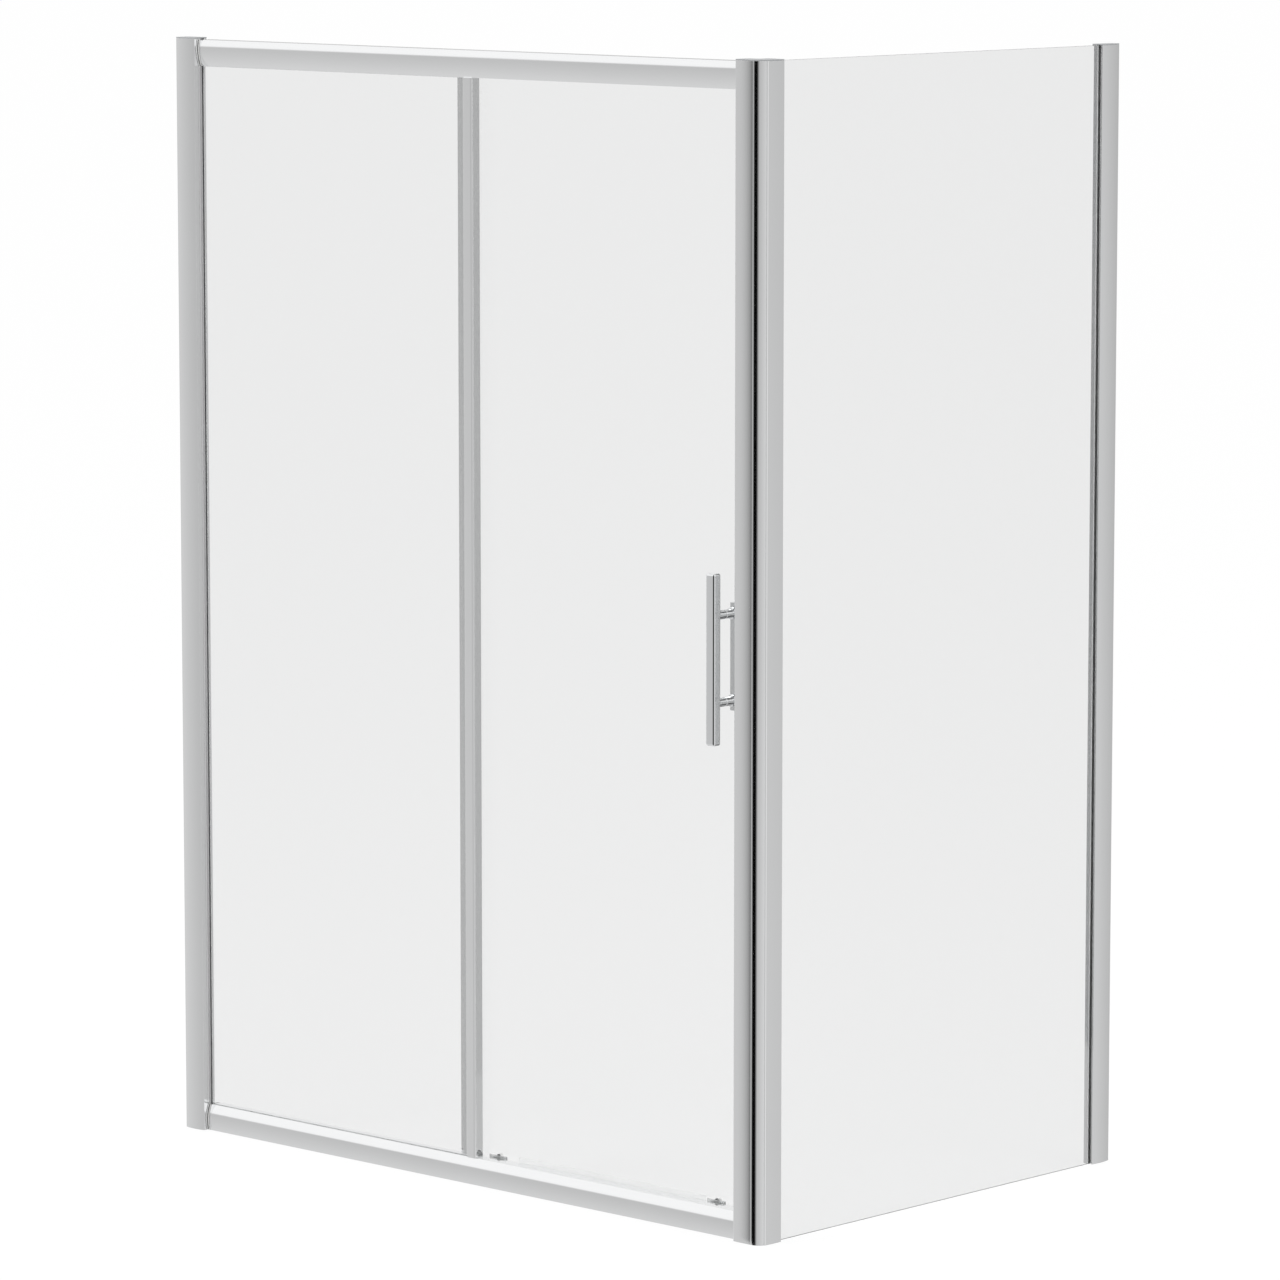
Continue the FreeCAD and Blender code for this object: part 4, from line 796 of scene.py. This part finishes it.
release = {"front": 51.5, "back": 59.4, "low": 20.0, "top": 52.0, "half": 5.0, "pad": 1.5, "padEdge": 0.35,
           "edge": 0.6, "press": 7.0}
sag = roundSag(4.0)
box = {"front": 51.2, "low": 6.0, "high": 47.0, "edge": 0.5, "sharp": 0.9, "brow": 2.0, "browSegments": 5,
       "browLow": 40.0, "reach": 0.1, "floor": (10.8, 8.7, 2.0), "floorEdge": 0.2, "channelMiddle": 55.45,
       "section": [(-5.3, 51.2), (-13, 51.2), (-13, 58.4), (-9, 62.4, sag), (9, 62.4), (13, 58.4, sag),
                   (13, 51.2), (5.3, 51.2), (5.3, 59.7), (-5.3, 59.7)]}
carrier = {"half": 19.5, "low": 8.0, "high": 50.0, "thick": 2.0, "edge": 0.5}
clamp = {"half": 12.0, "low": 15.0, "high": 36.0, "thick": 1.5, "edge": 0.4}
fixing = {"offset": 7.2, "hole": 1.3}
screw = {"radius": 1.25, "front": 41.7, "back": 62.4, "head": 2.4, "headHigh": 1.6, "socket": 1.0}
spring = {"coil": 3.4, "wire": 0.5, "sides": 10, "pitch": 2.9, "low": 8.0, "steps": 24}


def wound(matrix):
    # a wire's section spun up along its helix
    bm = bmesh.new()
    bmesh.ops.create_circle(bm, cap_ends=True, radius=spring["wire"], segments=spring["sides"],
                            matrix=Matrix.Translation((spring["coil"], 0, spring["wire"]))
                            @ Matrix.Rotation(math.radians(90), 4, "X"))
    rise = release["low"] - spring["low"] - 2 * spring["wire"]
    turns = rise / spring["pitch"]
    steps = round(turns * spring["steps"])
    bmesh.ops.spin(bm, geom=bm.faces[:], cent=(0, 0, 0), axis=(0, 0, 1), dvec=(0, 0, rise / steps),
                   angle=turns * math.tau, steps=steps, use_merge=False, use_duplicate=False)
    bmesh.ops.recalc_face_normals(bm, faces=bm.faces[:])
    bmesh.ops.transform(bm, matrix=matrix, verts=bm.verts[:])
    return bm


def boltedPlate(plate, back, along):
    # a plate with its two screw holes
    holes = [(along + offset, fixingHeight, fixing["hole"])
             for offset in (-fixing["offset"], fixing["offset"])]
    return drawn(rectangle(along - plate["half"], plate["low"], along + plate["half"], plate["high"]),
                 plate["thick"], at(place(0, back), facingFront), plate["edge"], holes)


def housingOf(along):
    # round corners at the back, a channel for the button, and a rounded brow at the front's top edge
    bm = drawn(box["section"], box["high"] - box["low"], upright, 0)
    brow = [edge for edge in bm.edges if all(vert.co.z > box["browLow"] and
                                             vert.co.y < box["front"] + box["reach"] for vert in edge.verts)]
    bevelled(bm, brow, box["brow"], box["browSegments"])
    roundEdges(bm, box["edge"], box["sharp"])
    bmesh.ops.transform(bm, matrix=at(place(along, 0, box["low"])), verts=bm.verts[:])
    floorSpot = place(along, box["channelMiddle"], box["low"] + box["floor"][2] / 2)
    return [bm, blockOf(box["floor"], at(floorSpot), box["floorEdge"], 2)]


housings, screws = [], []
for side, along in rollers.items():
    slider, body = "release_slider_" + side, "release_" + side
    housings += housingOf(along)
    foot = place(along, box["channelMiddle"], spring["low"])
    coiled = makePiece("releaseSpring" + side.title(), [wound(at(foot))], "release_spring_" + side, "door")
    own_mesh(coiled)
    for offset in (-fixing["offset"], fixing["offset"]):
        screws += screwOf(screw, place(along + offset, 0, fixingHeight))
    left, right, shoulder = along - release["half"], along + release["half"], release["top"] - release["half"]
    shape = [(left, release["low"]), (right, release["low"]), (right, shoulder),
             (left, shoulder, -release["half"] + 0.01)]
    padBack = release["front"] + release["pad"]
    # a thin near-black pad of painted shade covers the white button's front
    makePiece("releasePad" + side.title(),
              [drawn(shape, release["pad"], at(place(0, padBack), facingFront), release["padEdge"])],
              slider, body, material=buttonPlastic)
    makePiece("releaseButton" + side.title(),
              [drawn(shape, release["back"] - padBack, at(place(0, release["back"]), facingFront),
                     release["edge"])], slider, body)
    makePiece("releaseAxle" + side.title(), [turned(pin, at(place(along, lip, bottomAxle)))],
              "release_axle_" + side, body)
makePiece("carrierPlates", [boltedPlate(carrier, box["front"], along) for along in rollers.values()],
          "carrier_plates", "door")
makePiece("clampPlates", [boltedPlate(clamp, doorPane["depth"], along) for along in rollers.values()],
          "clamp_plates", "door")
makePiece("rollerHousings", housings, "roller_housings", "door")
makePiece("rollerScrews", screws, "roller_screws", "door")

# the buffers in the top rail stop the wheels at both ends of the door's way
buffer = {"size": (14.0, 7.3, 26.0), "depth": 31.75, "middle": 15.0, "clear": 12.3, "slide": 548.0,
          "round": 1.2, "segments": 4}
stops = (rollers["left"] - buffer["slide"] - buffer["clear"] - buffer["size"][0],
         rollers["right"] + buffer["clear"])
makePiece("doorBuffers",
          [blockOf(buffer["size"],
                   at(place(along + buffer["size"][0] / 2, buffer["depth"], topLevel + buffer["middle"])),
                   buffer["round"], buffer["segments"]) for along in stops], "door_buffers")
print("rollers made")


# floor, flag, world, lamps and camera

def paleFloor(name, floor):
    # white behind the object, with its shadow; polished metal mirrors the room around it instead
    mat, tree, links = newMaterial(name)
    mirrored, seen = mirroredOn(tree, links)
    white = tree.new("ShaderNodeEmission")
    setInputs(white, Strength=floor["white"])
    clear = tree.new("ShaderNodeBsdfTransparent")
    matt = tree.new("ShaderNodeBsdfDiffuse")
    setInputs(matt, Color=(floor["colour"],) * 3 + (1,))
    share = mathOn(tree, links, "MULTIPLY", seen, floor["share"])
    solid = mixOn(tree, links, share, matt.outputs["BSDF"], white.outputs["Emission"])
    finishShader(tree, links, mixOn(tree, links, mirrored, solid, clear.outputs["BSDF"]))
    return mat


def addStage(name, bm, material):
    mesh = bpy.data.meshes.new(name)
    bm.to_mesh(mesh)
    bm.free()
    mesh.materials.append(material)
    item = bpy.data.objects.new(name, mesh)
    scene.collection.objects.link(item)
    return item

floor = {"size": 60.0, "squares": 4, "drop": 0.0005, "colour": 0.8, "share": 0.85, "white": 1.06}
sheet = bmesh.new()
bmesh.ops.create_grid(sheet, x_segments=floor["squares"], y_segments=floor["squares"], size=floor["size"])
bmesh.ops.translate(sheet, verts=sheet.verts[:], vec=(0, 0, -floor["drop"]))
addStage("floor", sheet, paleFloor("paleFloor", floor))

# a narrow black flag stands in front of the corner, as a photographer sets one, and only polished
# faces mirror it: they get their one dark line
flag = {"left": -239.0, "darkFrom": -124.0, "darkTo": -24.0, "right": 36.0, "away": -150.0, "low": -40.0,
        "high": 2100.0, "tone": 0.004, "fade": 3}


def flagCloth(name, flag):
    # black, thinning to nothing at its sides
    mat, tree, links = newMaterial(name)
    coords = tree.new("ShaderNodeTexCoord")
    parts = tree.new("ShaderNodeSeparateXYZ")
    links.new(coords.outputs["Object"], parts.inputs["Vector"])
    cotton = tree.new("ShaderNodeBsdfDiffuse")
    setInputs(cotton, Color=(flag["tone"],) * 3 + (1,))
    clear = tree.new("ShaderNodeBsdfTransparent")
    edges = {side: place(flag[side], 0).x for side in ("left", "darkFrom", "darkTo", "right")}
    leftPart = rangeOf(tree, links, parts.outputs["X"], 0, 1, edges["left"], edges["darkFrom"])
    rightPart = rangeOf(tree, links, parts.outputs["X"], 1, 0, edges["darkTo"], edges["right"])
    black = mathOn(tree, links, "MULTIPLY", mathOn(tree, links, "POWER", leftPart, flag["fade"]), rightPart)
    share = mathOn(tree, links, "MULTIPLY", black, mirroredOn(tree, links)[0])
    finishShader(tree, links, mixOn(tree, links, share, clear.outputs["BSDF"], cotton.outputs["BSDF"]))
    return mat


cloth = bmesh.new()
runOutline(cloth, [(flag["left"], flag["low"]), (flag["right"], flag["low"])], closed=False)
lifted = bmesh.ops.extrude_edge_only(cloth, edges=cloth.edges[:])
bmesh.ops.translate(cloth, verts=vertsOf(lifted["geom"]), vec=(0, flag["high"] - flag["low"], 0))
bmesh.ops.transform(cloth, matrix=at(place(0, flag["away"]), facingFront), verts=cloth.verts[:])
flagObject = addStage("flag", cloth, flagCloth("flagCloth", flag))
flagObject.visible_camera = False
flagObject.visible_diffuse = False
flagObject.visible_shadow = False

room = {"grey": 0.572, "down": 0.19, "lean": 0.105, "skyline": (0.05, 0.09), "beside": 0.3,
        "besideX": (0.84, 0.92), "besideY": (0, 0.12), "black": 0.93, "cardLow": (0.36, 0.42),
        "cardHigh": (0.62, 0.70), "cardX": (0.44, 0.54), "cardY": (0.56, 0.64)}


def roomTone(tree, links):
    # what polished metal mirrors: white above, light grey below and lighter straight down and at the
    # sides, with two black cards high and low behind the door, which give small round parts their lines
    def reckoned(operation, first, second):
        return mathOn(tree, links, operation, first, second)

    def rising(source, ends, high=1):
        return rangeOf(tree, links, source, 0, high, *ends)

    def falling(source, ends):
        return rangeOf(tree, links, source, 1, 0, *ends)

    around = tree.new("ShaderNodeTexCoord")
    parts = tree.new("ShaderNodeSeparateXYZ")
    links.new(around.outputs["Generated"], parts.inputs["Vector"])
    across, ahead, up = (parts.outputs[axis] for axis in "XYZ")
    sideways = reckoned("ABSOLUTE", across, 0)
    lean = reckoned("MULTIPLY", reckoned("SUBTRACT", sideways, reckoned("ABSOLUTE", ahead, 0)), room["lean"])
    grey = reckoned("ADD", reckoned("ADD", lean, reckoned("MULTIPLY", up, -room["down"])), room["grey"])
    beside = reckoned("MULTIPLY", rising(sideways, room["besideX"]),
                      rising(ahead, room["besideY"], room["beside"]))
    grey = reckoned("ADD", grey, beside)
    whiter = reckoned("MULTIPLY", reckoned("SUBTRACT", 1, grey), rising(up, room["skyline"]))
    height = reckoned("ABSOLUTE", up, 0)
    card = reckoned("MULTIPLY", rising(height, room["cardLow"]), falling(height, room["cardHigh"]))
    behind = reckoned("MULTIPLY", falling(sideways, room["cardX"]), rising(ahead, room["cardY"]))
    dark = reckoned("MULTIPLY", reckoned("MULTIPLY", card, behind), room["black"])
    return reckoned("MULTIPLY", reckoned("ADD", grey, whiter), reckoned("SUBTRACT", 1, dark))


def backgroundOf(tree, strength):
    item = tree.new("ShaderNodeBackground")
    setInputs(item, Color=(1, 1, 1, 1), Strength=strength)
    return item


sky = {"lit": 0.78, "shown": 1.0}
world = bpy.data.worlds.new("studio")
scene.world = world
world.use_nodes = True
tree = world.node_tree.nodes
links = world.node_tree.links
tree.clear()
lit = backgroundOf(tree, sky["lit"])
shown = backgroundOf(tree, sky["shown"])
mirroredRoom = backgroundOf(tree, sky["shown"])
links.new(roomTone(tree, links), mirroredRoom.inputs["Color"])
mirrored, seen = mirroredOn(tree, links)
straight = mixOn(tree, links, seen, lit.outputs["Background"], shown.outputs["Background"])
out = tree.new("ShaderNodeOutputWorld")
links.new(mixOn(tree, links, mirrored, straight, mirroredRoom.outputs["Background"]), out.inputs["Surface"])


def softLamp(name, lamp):
    data = bpy.data.lights.new(name, "AREA")
    data.shape = "RECTANGLE"
    data.size, data.size_y = lamp["size"]
    data.energy = lamp["power"]
    item = bpy.data.objects.new(name, data)
    item.location = lamp["place"]
    item.rotation_euler = (Vector(lamp["aim"]) - Vector(lamp["place"])).to_track_quat("-Z", "Y").to_euler()
    item.visible_glossy = False  # the polished faces mirror only the room
    scene.collection.objects.link(item)


softLamp("keyLamp", {"place": (-2.5, -5.0, 4.5), "aim": (0, 0, 1), "size": (3, 3), "power": 120})
softLamp("fillLamp", {"place": (5.5, 1.0, 3.5), "aim": (0.5, 0, 1), "size": (3, 3), "power": 70})

view = {"lens": 179.3, "sensor": 36, "far": 200, "place": (7.577, -8.092, 2.388), "yaw": 43.116,
        "pitch": 7.638}
cameraData = bpy.data.cameras.new("camera")
cameraData.sensor_width = view["sensor"]
cameraData.lens = view["lens"]
cameraData.clip_end = view["far"]
camera = bpy.data.objects.new("camera", cameraData)
camera.location = view["place"]
camera.rotation_euler = (math.radians(90 - view["pitch"]), 0, math.radians(view["yaw"]))
scene.collection.objects.link(camera)
scene.camera = camera

scene.view_settings.view_transform = "Standard"
